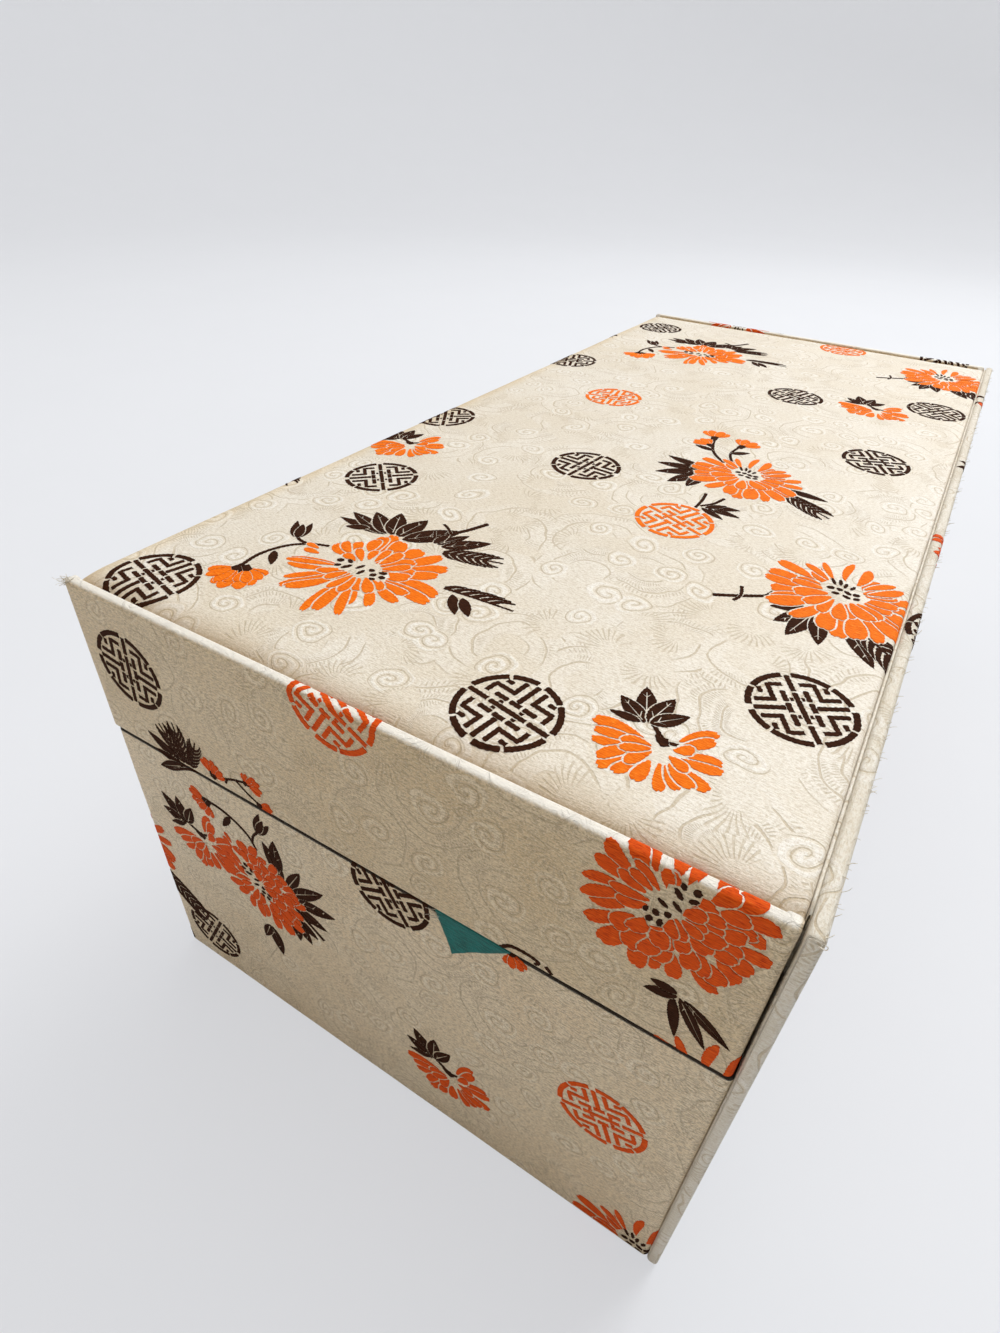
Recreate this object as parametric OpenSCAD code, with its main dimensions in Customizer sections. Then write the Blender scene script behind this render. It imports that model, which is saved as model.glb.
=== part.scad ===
// Brocade-covered board box with a deep lid that hinges along the top of a full-height back board.
// The box stands on XY with +Z up, its long side along Y, the hinge on +X and one short end facing -Y.
// The origin is the middle of its footprint.

/* [Box] */
// Width of the lid across a short end, outside its brocade
lid_w = 160; // [130:1:200]
// Length of the lid, outside its brocade
box_l = 348; // [260:1:420]
// Height from the table to the top of the rim
box_h = 136; // [118:1:170]
// Height of the base, up to the seam
base_h = 93.3; // [70:0.1:105]
// Open seam between the base and the lid
seam_gap = 0.5; // [0.45:0.05:0.8]
// How far the base stands in behind the lid on each side
base_inset = 0.5; // [0.4:0.05:1.2]

/* [Boards] */
// Thickness of the wall, floor, top and back boards
board_t = 2; // [1.5:0.1:3]
// Thickness of the thin cards under the padding
card_t = 1; // [0.6:0.1:1.6]
// Thickness of the paper pasted under the box
paper_t = 0.3; // [0.2:0.05:0.6]
// Margin of the paper inside the base's edge
paper_margin = 2; // [1:0.5:6]

/* [Brocade] */
// Thickness of the brocade with its paste
cover_t = 0.35; // [0.25:0.05:0.5]
// Width of brocade turned in behind an edge
turn_in = 12; // [6:1:18]
// Radius to which the boards' standing corners are eased under the brocade
corner_ease = 0.85; // [0.5:0.05:1.2]
// Radius to which the lid's end boards are eased along the rims
rim_ease = 0.85; // [0.3:0.05:1]
// Radius to which the boards' other edges are eased
low_ease = 0.4; // [0.2:0.1:0.8]
// Radius to which the back board's edges are eased
board_ease = 0.6; // [0.2:0.05:0.7]

/* [Padded top] */
// Height of the end rims above the top board
recess_d = 3; // [2.4:0.1:5]
// Clearance between the padded top and the end rims
panel_clear = 0.25; // [0.2:0.05:0.6]
// Depth of the padded top below the end rims, where it meets them
panel_edge_drop = 1.5; // [1:0.1:1.8]
// How far the wadding wraps past the edge of its card
card_inset = 2.4; // [1.5:0.1:4]
// Rise of the wadding from an end rim to its shoulder
top_shoulder = 1.3; // [0.6:0.1:1.5]
// Width of that rising shoulder
top_shoulder_w = 7; // [4:0.5:14]
// Further rise of the wadding to the middle of the top
top_crown = 1.8; // [0.8:0.1:4]
// Width over which the top rolls down to the opening side
front_roll_w = 4; // [2:0.5:8]
// Height of that roll's foot above the top board
front_roll_foot = 0.3; // [0.2:0.05:0.6]
// Width over which the top rolls down to the hinge
hinge_edge_w = 0.9; // [0.6:0.1:1.5]
// Depth of that roll
hinge_edge_drop = 0.9; // [0.6:0.1:1.2]
// How far the wadding stops short of the brocade's long edges
wadding_in = 0.8; // [0.5:0.1:1.4]

/* [Lining] */
// Thickness of the silk-covered lining cards
lining_t = 1.4; // [1:0.1:2.4]
// Paste and tape room behind the linings, past the turned-in brocade
lining_seat = 0.3; // [0.26:0.02:0.5]
// How far the wall linings stop short of the seam
lining_drop = 0.4; // [0.3:0.1:2]
// Clearance between neighbouring linings
lining_clear = 0.2; // [0.1:0.05:0.5]
// Edge height of the padded floor and top linings
pad_edge = 1.2; // [0.8:0.1:2]
// Rise of those paddings to their shoulder
pad_shoulder = 1.4; // [0.6:0.1:2.5]
// Width of that rising shoulder
pad_shoulder_w = 9; // [5:0.5:16]
// Further rise of those paddings to the middle
pad_crown = 1.5; // [0.6:0.1:4]

/* [Hinge] */
// Open joint between the lid's back wall and the back board
hinge_gap = 0.6; // [0.6:0.05:1]
// Depth of the hinge line below the rim
hinge_drop = 0.5; // [0.4:0.05:0.6]
// Radius of the cloth roll along the hinge line
hinge_roll_r = 0.28; // [0.2:0.01:0.3]
// Thickness of the hinge cloth's leaf
hinge_leaf_t = 0.15; // [0.1:0.01:0.2]
// Height of that leaf on the back board
hinge_leaf_h = 14; // [8:1:24]
// How far the hinge cloth stops short of each end
hinge_end = 4; // [2:0.5:12]

/* [Silk tab] */
// Width of the folded silk tab where it leaves the seam
tab_w = 17.6; // [10:0.2:30]
// Distance from the opening side's face to the tab
tab_from_front = 99.4; // [60:0.2:104]
// Length of the tab's point below the lid
tab_drop = 9.7; // [5:0.1:16]
// Share of the width at which the point hangs
tab_apex = 0.28; // [0.15:0.01:0.85]
// Thickness of the doubled silk
tab_t = 0.25; // [0.15:0.01:0.25]
// Height of the tab glued behind the lid's lining
tab_root_h = 14; // [8:1:24]

/* [Hidden] */

// Colours of the pieces
brocade = [0.88, 0.84, 0.74];
greyboard = [0.62, 0.57, 0.48];
white_card = [0.9, 0.89, 0.85];
plain_paper = [0.83, 0.79, 0.68];
cotton = [0.95, 0.94, 0.9];
teal_silk = [0.06, 0.42, 0.42];

// Steps in a quarter round of a standing corner, and in the round of an edge
corner_n = 5;
edge_n = 4;
// Grid lines over the middle of a padded surface, and across the top
middle_lines = 5;
top_lines = 7;
// Overshoot of a cutting shape past the face that it opens
cut = 1;
// Least radius of a corner that shrinks as its edge rounds over
least_r = 0.05;

// A covered wall: brocade, board and turned-in brocade; and the board's inner face
wall_t = board_t + 2 * cover_t;
board_in = board_t + cover_t;
total_w = lid_w + hinge_gap + wall_t;

// Lid: its box and the middle of its width
lid_z0 = base_h + seam_gap;
lid_x0 = -total_w / 2;
lid_cx = lid_x0 + lid_w / 2;
lid_top_z = box_h - recess_d;

// Base: from behind the lid's opening side to the back board's inner face
back_x = total_w / 2 - wall_t;
base_x0 = lid_x0 + base_inset;
base_w = back_x - base_x0;
base_cx = base_x0 + base_w / 2;
base_l = box_l - 2 * base_inset;
cover_z0 = paper_t;
floor_z0 = cover_z0 + cover_t;
floor_z1 = floor_z0 + board_t;

// Linings stand this far inside the outer face
lining_in = wall_t + lining_seat;
base_pad_z0 = floor_z1 + card_t;
base_lining_h = base_h - lining_drop - floor_z1;
lid_lining_top = lid_top_z - board_t;
lid_lining_z0 = lid_z0 + lining_drop;

// Hinge line
hinge_x = back_x - hinge_gap / 2;
hinge_z = box_h - hinge_drop;

// Padded top, between the end rims
panel_l = box_l - 2 * (wall_t + panel_clear);
panel_low = box_h - panel_edge_drop;
roll_foot_z = lid_top_z + front_roll_foot;

// Grid lines across a padded surface: close together on its shoulders, then evenly over the middle
function grid_line(size, shoulder_w) = let (
    h = size / 2,
    near = [for (k = [0, 0.15, 0.35, 0.65, 1]) k * shoulder_w],
    step = (size - 2 * shoulder_w) / (middle_lines + 1))
    concat([for (d = near) d - h], [for (i = [1:middle_lines]) shoulder_w - h + i * step],
        [for (i = [len(near) - 1:-1:0]) h - near[i]]);

// Share of a shoulder's rise at a distance from the edge
function shoulder_share(d, w) = 1 - pow(1 - min(max(d / w, 0), 1), 2);
function dome_share(x, y, w, l) = (1 - pow(2 * x / w, 2)) * (1 - pow(2 * y / l, 2));
function pillow_z(x, y, w, l, low, shoulder, shoulder_w, crown) =
    low + shoulder * shoulder_share(min(w / 2 - abs(x), l / 2 - abs(y)), shoulder_w)
        + crown * dome_share(x, y, w, l);

// Share of a rounded edge's drop that is regained at a distance from the edge
function roll_share(d, w) = sqrt(1 - pow(1 - min(max(d / w, 0), 1), 2));
function top_z(x, y, w, l) = let (
    face = panel_low + top_shoulder * shoulder_share(l / 2 - abs(y), top_shoulder_w)
        + top_crown * dome_share(x, y, w, l))
    roll_foot_z + (face - roll_foot_z) * roll_share(w / 2 + x, front_roll_w)
        - hinge_edge_drop * (1 - roll_share(w / 2 - x, hinge_edge_w));

// Closed block over a grid, from a flat underside at z0 to the given upper points
module height_block(xs, ys, upper, z0) {
    nx = len(xs);
    ny = len(ys);
    n = nx * ny;
    lower = [for (y = ys) for (x = xs) [x, y, z0]];
    top_faces = [for (j = [0:ny - 2]) for (i = [0:nx - 2]) let (a = j * nx + i)
        each [[a, a + nx, a + nx + 1], [a, a + nx + 1, a + 1]]];
    low_faces = [for (f = top_faces) [n + f[0], n + f[2], n + f[1]]];
    rim = concat([for (i = [0:nx - 1]) i], [for (j = [1:ny - 1]) j * nx + nx - 1],
        [for (i = [nx - 2:-1:0]) (ny - 1) * nx + i], [for (j = [ny - 2:-1:1]) j * nx]);
    side_faces = [for (k = [0:len(rim) - 1]) let (a = rim[k], b = rim[(k + 1) % len(rim)])
        each [[a, b, n + b], [a, n + b, n + a]]];
    polyhedron(concat(upper, lower), concat(top_faces, low_faces, side_faces), convexity = 4);
}

// Crowned pad from a flat underside at z0 to its padded upper surface
module pillow(w, l, z0, low, shoulder, shoulder_w, crown) {
    xs = grid_line(w, shoulder_w);
    ys = grid_line(l, shoulder_w);
    height_block(xs, ys,
        [for (y = ys) for (x = xs) [x, y, pillow_z(x, y, w, l, low, shoulder, shoulder_w, crown)]], z0);
}

// Padded top, t below the brocade's face: rolled down at the opening side and, more sharply, at the hinge
module top_pad(t, z0) {
    w = lid_w - 2 * t;
    l = panel_l - 2 * t;
    run = w - front_roll_w - hinge_edge_w;
    xs = concat([for (k = [0, 0.04, 0.15, 0.35, 0.65, 1]) k * front_roll_w - w / 2],
        [for (i = [1:top_lines]) front_roll_w - w / 2 + run * i / (top_lines + 1)],
        [for (k = [1, 0.6, 0.25, 0.06, 0]) w / 2 - k * hinge_edge_w]);
    ys = grid_line(l, top_shoulder_w);
    height_block(xs, ys, [for (y = ys) for (x = xs) [x, y, top_z(x, y, w, l) - t]], z0);
}

// Outline of a rectangle with round corners, at height z
function ring(w, l, r, z) = [for (c = [0:3]) for (i = [0:corner_n])
    let (a = 90 * (c + i / corner_n), sx = (c == 0 || c == 3) ? 1 : -1, sy = c < 2 ? 1 : -1)
    [sx * (w / 2 - r) + r * cos(a), sy * (l / 2 - r) + r * sin(a), z]];

// Solid through a stack of such outlines
module stack(rings) {
    m = len(rings[0]);
    k = len(rings);
    sides = [for (j = [0:k - 2]) for (i = [0:m - 1]) let (a = j * m + i, b = j * m + (i + 1) % m)
        each [[a, b + m, b], [a, a + m, b + m]]];
    caps = [[for (i = [0:m - 1]) i], [for (i = [m - 1:-1:0]) (k - 1) * m + i]];
    polyhedron([for (r = rings) each r], concat(sides, caps), convexity = 6);
}

// Upright block with round standing corners and rounded lower and upper edges
module soft_block(w, l, z0, z1, r, low, high) {
    below = [for (i = [0:edge_n]) let (a = 90 * i / edge_n) [low * (1 - sin(a)), z0 + low * (1 - cos(a))]];
    above = [for (i = [0:edge_n]) let (a = 90 * i / edge_n) [high * (1 - cos(a)), z1 - high * (1 - sin(a))]];
    stack([for (p = concat(below, above))
        ring(w - 2 * p[0], l - 2 * p[0], max(r - p[0], least_r), p[1])]);
}

// Channel along X whose mouth flares over rounded rims
module flared_channel(w, l, z0, z1, flare) {
    h = l / 2;
    round_over = [for (i = [0:edge_n]) let (a = 90 * i / edge_n) [h + flare * (1 - cos(a)), z1 - flare * (1 - sin(a))]];
    side = concat([[h, z0]], round_over, [[h + flare, z1 + cut]]);
    other = [for (i = [len(side) - 1:-1:0]) [-side[i][0], side[i][1]]];
    rotate([90, 0, 90]) translate([0, 0, -w / 2]) linear_extrude(w) polygon(concat(side, other));
}

// Outside of a covered tray, or of its boards where t is the brocade's thickness
module tray_body(w, l, z0, z1, high_ease, t) {
    ease = cover_t - t;
    soft_block(w - 2 * t, l - 2 * t, z0 + t, z1 - t, corner_ease + ease, low_ease + ease, high_ease + ease);
}

// Block centred on XY between two heights
module block(w, l, z0, z1) {
    translate([-w / 2, -l / 2, z0]) cube([w, l, z1 - z0]);
}

// Frame between two rectangles, between two heights
module frame_block(w, l, inner_w, inner_l, z0, z1) {
    difference() {
        block(w, l, z0, z1);
        block(inner_w, inner_l, z0 - cut, z1 + cut);
    }
}

// Wall boards of a w by l tray, each short of the tray's corners by ends
module long_board(w, l, side, ends, z0, z1) {
    x = w / 2 - cover_t - board_t;
    translate([side > 0 ? x : -x - board_t, -l / 2 + ends, z0]) cube([board_t, l - 2 * ends, z1 - z0]);
}

module end_board(w, l, side, ends, z0, z1) {
    y = l / 2 - cover_t - board_t;
    translate([-w / 2 + ends, side > 0 ? y : -y - board_t, z0]) cube([w - 2 * ends, board_t, z1 - z0]);
}

// Lining cards of a w by l tray: the long ones run the full length and the end ones stand between them
module long_lining(w, l, side, z0, z1) {
    x = w / 2 - lining_in - lining_t;
    run = l - 2 * lining_in - 2 * lining_clear;
    translate([side > 0 ? x : -x - lining_t, -run / 2, z0]) cube([lining_t, run, z1 - z0]);
}

module end_lining(w, l, side, z0, z1) {
    y = l / 2 - lining_in - lining_t;
    run = w - 2 * (lining_in + lining_t + lining_clear);
    translate([-run / 2, side > 0 ? y : -y - lining_t, z0]) cube([run, lining_t, z1 - z0]);
}

module in_base() {
    translate([base_cx, 0, 0]) children();
}

module in_lid() {
    translate([lid_cx, 0, 0]) children();
}

// Padding of a lining panel that fits inside the wall linings of a w by l tray
module lining_pillow(w, l, z0, turn) {
    inset = lining_in + lining_t + lining_clear;
    translate([0, 0, z0]) rotate([turn, 0, 0])
        pillow(w - 2 * inset, l - 2 * inset, 0, pad_edge, pad_shoulder, pad_shoulder_w, pad_crown);
}

module lining_card(w, l, z0) {
    inset = lining_in + lining_t + lining_clear;
    block(w - 2 * inset, l - 2 * inset, z0, z0 + card_t);
}

// A wall board, with its outer edges eased
module base_wall() {
    color(greyboard) in_base() intersection() {
        children();
        tray_body(base_w, base_l, cover_z0, base_h, low_ease, cover_t);
    }
}

module lid_wall() {
    color(greyboard) in_lid() intersection() {
        children();
        tray_body(lid_w, box_l, lid_z0, box_h, rim_ease, cover_t);
    }
}

module base_floor_board() {
    color(greyboard) in_base() block(base_w - 2 * (cover_t + board_t), base_l - 2 * (cover_t + board_t),
        floor_z0, floor_z1);
}

module base_front_wall() {
    base_wall() long_board(base_w, base_l, -1, cover_t, floor_z0, base_h - cover_t);
}

module base_back_wall() {
    base_wall() long_board(base_w, base_l, 1, cover_t, floor_z0, base_h - cover_t);
}

module base_near_wall() {
    base_wall() end_board(base_w, base_l, -1, board_in, floor_z0, base_h - cover_t);
}

module base_far_wall() {
    base_wall() end_board(base_w, base_l, 1, board_in, floor_z0, base_h - cover_t);
}

// Brocade round the base: over the seam edge, and turned in under the floor and behind the walls
module base_wall_cover() {
    color(brocade) in_base() difference() {
        tray_body(base_w, base_l, cover_z0, base_h, low_ease, 0);
        intersection() {
            tray_body(base_w, base_l, cover_z0, base_h, low_ease, cover_t);
            frame_block(base_w, base_l, base_w - 2 * board_in, base_l - 2 * board_in, floor_z0, base_h);
        }
        block(base_w - 2 * board_in, base_l - 2 * board_in, floor_z0, base_h - turn_in);
        block(base_w - 2 * wall_t, base_l - 2 * wall_t, floor_z0, base_h + cut);
        block(base_w - 2 * turn_in, base_l - 2 * turn_in, cover_z0 - cut, floor_z0 + cut);
    }
}

module base_bottom_paper() {
    color(plain_paper) in_base()
        block(base_w - 2 * paper_margin, base_l - 2 * paper_margin, 0, paper_t);
}

module base_floor_card() {
    color(white_card) in_base() lining_card(base_w, base_l, floor_z1);
}

module base_floor_pad() {
    color(teal_silk) in_base() lining_pillow(base_w, base_l, base_pad_z0, 0);
}

module base_front_lining() {
    color(teal_silk) in_base() long_lining(base_w, base_l, -1, floor_z1, floor_z1 + base_lining_h);
}

module base_back_lining() {
    color(teal_silk) in_base() long_lining(base_w, base_l, 1, floor_z1, floor_z1 + base_lining_h);
}

module base_near_lining() {
    color(teal_silk) in_base() end_lining(base_w, base_l, -1, floor_z1, floor_z1 + base_lining_h);
}

module base_far_lining() {
    color(teal_silk) in_base() end_lining(base_w, base_l, 1, floor_z1, floor_z1 + base_lining_h);
}

// Back board with its brocade, or alone where t is the brocade's thickness
module back_board_body(t) {
    r = board_ease + cover_t - t;
    translate([back_x + wall_t / 2, 0, 0])
        soft_block(wall_t - 2 * t, box_l - 2 * t, cover_z0 + t, box_h - t, r, r, r);
}

// Full-height back board, up to the level of the rim
module back_board() {
    color(greyboard) back_board_body(cover_t);
}

// Room on the back board's inner face inside the turned-in brocade
module back_lining_room(t) {
    translate([back_x - (t - cover_t), -box_l / 2 + turn_in, cover_z0 + turn_in])
        cube([t, box_l - 2 * turn_in, box_h - cover_z0 - 2 * turn_in]);
}

module back_board_cover() {
    color(brocade) difference() {
        back_board_body(0);
        back_board_body(cover_t);
        back_lining_room(cover_t + cut);
    }
}

module back_board_lining() {
    color(teal_silk) back_lining_room(cover_t);
}

// Cloth roll along the hinge line, with the leaf that holds it to the back board
module hinge_cloth() {
    run = box_l - 2 * hinge_end;
    color(brocade) union() {
        translate([hinge_x, run / 2, hinge_z]) rotate([90, 0, 0]) cylinder(h = run, r = hinge_roll_r, $fn = 24);
        translate([back_x - hinge_leaf_t, -run / 2, hinge_z - hinge_leaf_h])
            cube([hinge_leaf_t, run, hinge_leaf_h]);
        translate([hinge_x, -run / 2, hinge_z - hinge_leaf_t / 2])
            cube([hinge_gap / 2, run, hinge_leaf_t]);
    }
}

module lid_top_board() {
    color(greyboard) in_lid() block(lid_w - 2 * cover_t, box_l - 2 * board_in, lid_lining_top, lid_top_z);
}

// The long walls stand under the top board, and the end walls rise past it as rims
module lid_front_wall() {
    lid_wall() long_board(lid_w, box_l, -1, board_in, lid_z0 + cover_t, lid_lining_top);
}

module lid_back_wall() {
    lid_wall() long_board(lid_w, box_l, 1, board_in, lid_z0 + cover_t, lid_lining_top);
}

module lid_near_wall() {
    lid_wall() end_board(lid_w, box_l, -1, cover_t, lid_z0 + cover_t, box_h - cover_t);
}

module lid_far_wall() {
    lid_wall() end_board(lid_w, box_l, 1, cover_t, lid_z0 + cover_t, box_h - cover_t);
}

// Brocade on all four lid walls: over the end rims, and under the seam edge up behind the walls
module lid_wall_cloth() {
    difference() {
        tray_body(lid_w, box_l, lid_z0, box_h, rim_ease, 0);
        intersection() {
            tray_body(lid_w, box_l, lid_z0, box_h, rim_ease, cover_t);
            union() {
                frame_block(lid_w, box_l, lid_w - 2 * board_in, box_l - 2 * board_in, lid_z0, lid_top_z);
                frame_block(lid_w, box_l, lid_w + cut, box_l - 2 * board_in, lid_top_z - cut, box_h);
            }
        }
        block(lid_w - 2 * board_in, box_l - 2 * board_in, lid_z0 + turn_in, lid_top_z);
        block(lid_w - 2 * wall_t, box_l - 2 * wall_t, lid_z0 - cut, lid_top_z);
        flared_channel(lid_w + 2 * cut, box_l - 2 * wall_t, lid_top_z, box_h, rim_ease);
    }
}

// Room of the opening side's wall, which the top's own brocade covers
module front_room() {
    translate([-lid_w / 2 - cut, -box_l / 2 + wall_t, lid_z0 - cut])
        cube([wall_t + cut, box_l - 2 * wall_t, lid_top_z - lid_z0 + cut]);
}

// Fold of that brocade over the opening side's upper edge
module front_fold() {
    translate([-lid_w / 2, -panel_l / 2, lid_top_z - front_roll_foot])
        cube([cover_t, panel_l, 1.5 * front_roll_foot]);
}

// Brocade of the lid's ends and hinge side
module lid_wall_cover() {
    color(brocade) in_lid() difference() {
        lid_wall_cloth();
        front_room();
    }
}

module panel_card_block(z0) {
    inset = cover_t + card_inset;
    block(lid_w - 2 * inset, panel_l - 2 * inset, z0, lid_top_z + card_t);
}

module lid_panel_card() {
    color(white_card) in_lid() panel_card_block(lid_top_z);
}

module lid_panel_wadding() {
    color(cotton) in_lid() difference() {
        intersection() {
            top_pad(cover_t, lid_top_z - cut);
            block(lid_w - 2 * (cover_t + wadding_in), panel_l, lid_top_z, box_h + top_crown + cut);
        }
        panel_card_block(lid_top_z - cut);
    }
}

// Brocade of the padded top: on over the opening side's wall, under its seam edge and up behind it
module lid_panel_cover() {
    color(brocade) in_lid() union() {
        difference() {
            top_pad(0, lid_top_z);
            top_pad(cover_t, lid_top_z - cut);
        }
        intersection() {
            lid_wall_cloth();
            front_room();
        }
        front_fold();
    }
}

module lid_top_lining_card() {
    color(white_card) in_lid() lining_card(lid_w, box_l, lid_lining_top - card_t);
}

module lid_top_lining_pad() {
    color(teal_silk) in_lid() lining_pillow(lid_w, box_l, lid_lining_top - card_t, 180);
}

module lid_front_lining() {
    color(teal_silk) in_lid() long_lining(lid_w, box_l, -1, lid_lining_z0, lid_lining_top);
}

module lid_back_lining() {
    color(teal_silk) in_lid() long_lining(lid_w, box_l, 1, lid_lining_z0, lid_lining_top);
}

module lid_near_lining() {
    color(teal_silk) in_lid() end_lining(lid_w, box_l, -1, lid_lining_z0, lid_lining_top);
}

module lid_far_lining() {
    color(teal_silk) in_lid() end_lining(lid_w, box_l, 1, lid_lining_z0, lid_lining_top);
}

// Folded silk tab: glued up behind the near lining, out through the seam and down in a point
module silk_tab() {
    x0 = lid_x0 + tab_from_front;
    y0 = -box_l / 2;
    root_y = y0 + wall_t;
    color(teal_silk) union() {
        translate([x0, root_y, lid_z0 - tab_t]) cube([tab_w, tab_t, tab_root_h]);
        translate([x0, y0, lid_z0 - tab_t]) cube([tab_w, wall_t + tab_t, tab_t]);
        translate([x0, y0 + tab_t, lid_z0]) rotate([90, 0, 0]) linear_extrude(tab_t)
            polygon([[0, -tab_t], [0, -2 * tab_t], [tab_w * tab_apex, -tab_drop],
                [tab_w, -2 * tab_t], [tab_w, -tab_t]]);
    }
}

base_floor_board();
base_front_wall();
base_back_wall();
base_near_wall();
base_far_wall();
base_wall_cover();
base_bottom_paper();
base_floor_card();
base_floor_pad();
base_front_lining();
base_back_lining();
base_near_lining();
base_far_lining();
back_board();
back_board_cover();
back_board_lining();
hinge_cloth();
lid_top_board();
lid_front_wall();
lid_back_wall();
lid_near_wall();
lid_far_wall();
lid_wall_cover();
lid_panel_card();
lid_panel_wadding();
lid_panel_cover();
lid_top_lining_card();
lid_top_lining_pad();
lid_front_lining();
lid_back_lining();
lid_near_lining();
lid_far_lining();
silk_tab();
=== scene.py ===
import math
import random

import bmesh
import bpy
import numpy as np
from mathutils import Matrix, Vector
from mathutils.geometry import delaunay_2d_cdt


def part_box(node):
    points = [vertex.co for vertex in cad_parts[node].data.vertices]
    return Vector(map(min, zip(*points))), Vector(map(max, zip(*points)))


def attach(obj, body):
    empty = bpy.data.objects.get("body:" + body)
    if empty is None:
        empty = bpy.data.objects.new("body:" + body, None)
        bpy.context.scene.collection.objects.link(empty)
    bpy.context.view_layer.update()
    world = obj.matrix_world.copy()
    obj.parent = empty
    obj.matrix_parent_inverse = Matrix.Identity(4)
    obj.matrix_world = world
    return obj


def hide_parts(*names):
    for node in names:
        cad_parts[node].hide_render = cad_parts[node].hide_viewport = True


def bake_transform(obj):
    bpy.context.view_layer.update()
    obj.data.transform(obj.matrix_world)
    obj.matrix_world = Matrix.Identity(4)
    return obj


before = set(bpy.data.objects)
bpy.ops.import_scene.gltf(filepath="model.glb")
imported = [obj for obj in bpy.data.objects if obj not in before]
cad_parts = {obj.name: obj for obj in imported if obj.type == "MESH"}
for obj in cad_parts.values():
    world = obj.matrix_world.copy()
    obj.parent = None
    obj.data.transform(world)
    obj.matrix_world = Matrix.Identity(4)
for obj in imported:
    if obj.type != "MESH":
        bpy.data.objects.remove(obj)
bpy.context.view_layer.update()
MM = 0.001
PI = math.pi

# Sizes, in millimetres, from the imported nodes


def box_mm(node):
    lo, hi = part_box(node)
    return np.array(lo) * 1000, np.array(hi) * 1000


lid_lo, lid_hi = box_mm("lid_wall_cover")
base_lo, base_hi = box_mm("base_wall_cover")
back_lo, back_hi = box_mm("back_board_cover")
CLOTH = 0.35
WALL = 2.7
CORNER_R = 1.2
RIM_R = 1.2
LOW_R = 0.45
RECESS = 3.0
TURN = 12.0

# Small geometry helpers


def new_mesh(name, verts, faces, smooth=True, cloth=None, mats=(), mat_index=None):
    """A mesh object from points in millimetres."""
    me = bpy.data.meshes.new(name)
    me.from_pydata((np.asarray(verts, float) * MM).tolist(), [], [list(map(int, f)) for f in faces])
    me.validate()
    if cloth is not None:
        c = np.zeros((len(verts), 3), np.float32)
        c[:, :2] = np.asarray(cloth, float)[:, :2]
        a = me.attributes.new("cloth", "FLOAT_VECTOR", "POINT")
        a.data.foreach_set("vector", c.ravel())
    for m in mats:
        me.materials.append(m)
    if mat_index is not None:
        me.polygons.foreach_set("material_index", np.asarray(mat_index, np.int32))
    me.polygons.foreach_set("use_smooth", np.full(len(me.polygons), smooth))
    me.update()
    ob = bpy.data.objects.new(name, me)
    bpy.context.scene.collection.objects.link(ob)
    return ob


def grid_faces(nu, nv, loop_u=False, loop_v=False):
    """Quads over an nv by nu grid of points, counted along u first."""
    out = []
    for j in range(nv if loop_v else nv - 1):
        for i in range(nu if loop_u else nu - 1):
            a, b = j * nu + i, j * nu + (i + 1) % nu
            c, d = ((j + 1) % nv) * nu + (i + 1) % nu, ((j + 1) % nv) * nu + i
            out.append((a, b, c, d))
    return out


def boundary(faces):
    """Edges with one face, in that face's direction."""
    seen = {}
    for f in faces:
        for k in range(len(f)):
            a, b = f[k], f[(k + 1) % len(f)]
            key = (a, b) if a < b else (b, a)
            seen[key] = None if key in seen else (a, b)
    return [e for e in seen.values() if e]


def thicken(verts, normals, faces, t):
    """Closed shell from an open surface: a copy t below it, and a rim that joins the two."""
    n = len(verts)
    low = np.asarray(verts) - np.asarray(normals) * t
    out = [tuple(f) for f in faces] + [tuple(n + k for k in reversed(f)) for f in faces]
    out += [(b, a, n + a, n + b) for a, b in boundary(faces)]
    return np.vstack([verts, low]), out


def unit(v):
    return v / np.maximum(np.linalg.norm(v, axis=-1, keepdims=True), 1e-9)


def ripple(u, v, seed, size, amount):
    """Gentle unevenness of pasted cloth: a few crossed waves, about size long."""
    rng = random.Random(seed)
    total = np.zeros(np.broadcast(u, v).shape)
    for k in range(7):
        a, w, p = rng.uniform(0, PI), size * rng.uniform(0.6, 1.7), rng.uniform(0, 2 * PI)
        total = total + np.sin((u * math.cos(a) + v * math.sin(a)) * 2 * PI / w + p)
    return total / 7 * amount


# Brocade round a tray of walls


class Path:
    """Profile of a cover: points of depth inside the outer face, and height, with arcs; v is the length along it."""

    def __init__(self):
        self.p = []

    def to(self, d, z, steps=1):
        if not self.p:
            self.p.append((d, z))
            return self
        a = self.p[-1]
        self.p += [(a[0] + (d - a[0]) * k / steps, a[1] + (z - a[1]) * k / steps) for k in range(1, steps + 1)]
        return self

    def arc(self, cd, cz, r, a0, a1, steps=5):
        for k in range(0 if not self.p else 1, steps + 1):
            a = math.radians(a0 + (a1 - a0) * k / steps)
            self.p.append((cd + r * math.cos(a), cz + r * math.sin(a)))
        return self

    def done(self, zero):
        """zero: the point where v is 0."""
        p = np.array(self.p)
        seg = np.diff(p, axis=0)
        self.v = np.concatenate([[0], np.cumsum(np.linalg.norm(seg, axis=1))])
        self.v -= self.v[int(np.argmin(np.linalg.norm(p - np.array(zero), axis=1)))]
        side = unit(np.column_stack([-seg[:, 1], seg[:, 0]]))
        n = np.vstack([side[:1], unit(side[:-1] + side[1:]), side[-1:]])
        self.d, self.z, self.nd, self.nz = p[:, 0], p[:, 1], n[:, 0], n[:, 1]
        return self

    def at(self, v):
        f = [np.interp(v, self.v, q) for q in (self.d, self.z, self.nd, self.nz)]
        k = np.maximum(np.hypot(f[2], f[3]), 1e-9)
        return f[0], f[1], f[2] / k, f[3] / k


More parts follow.
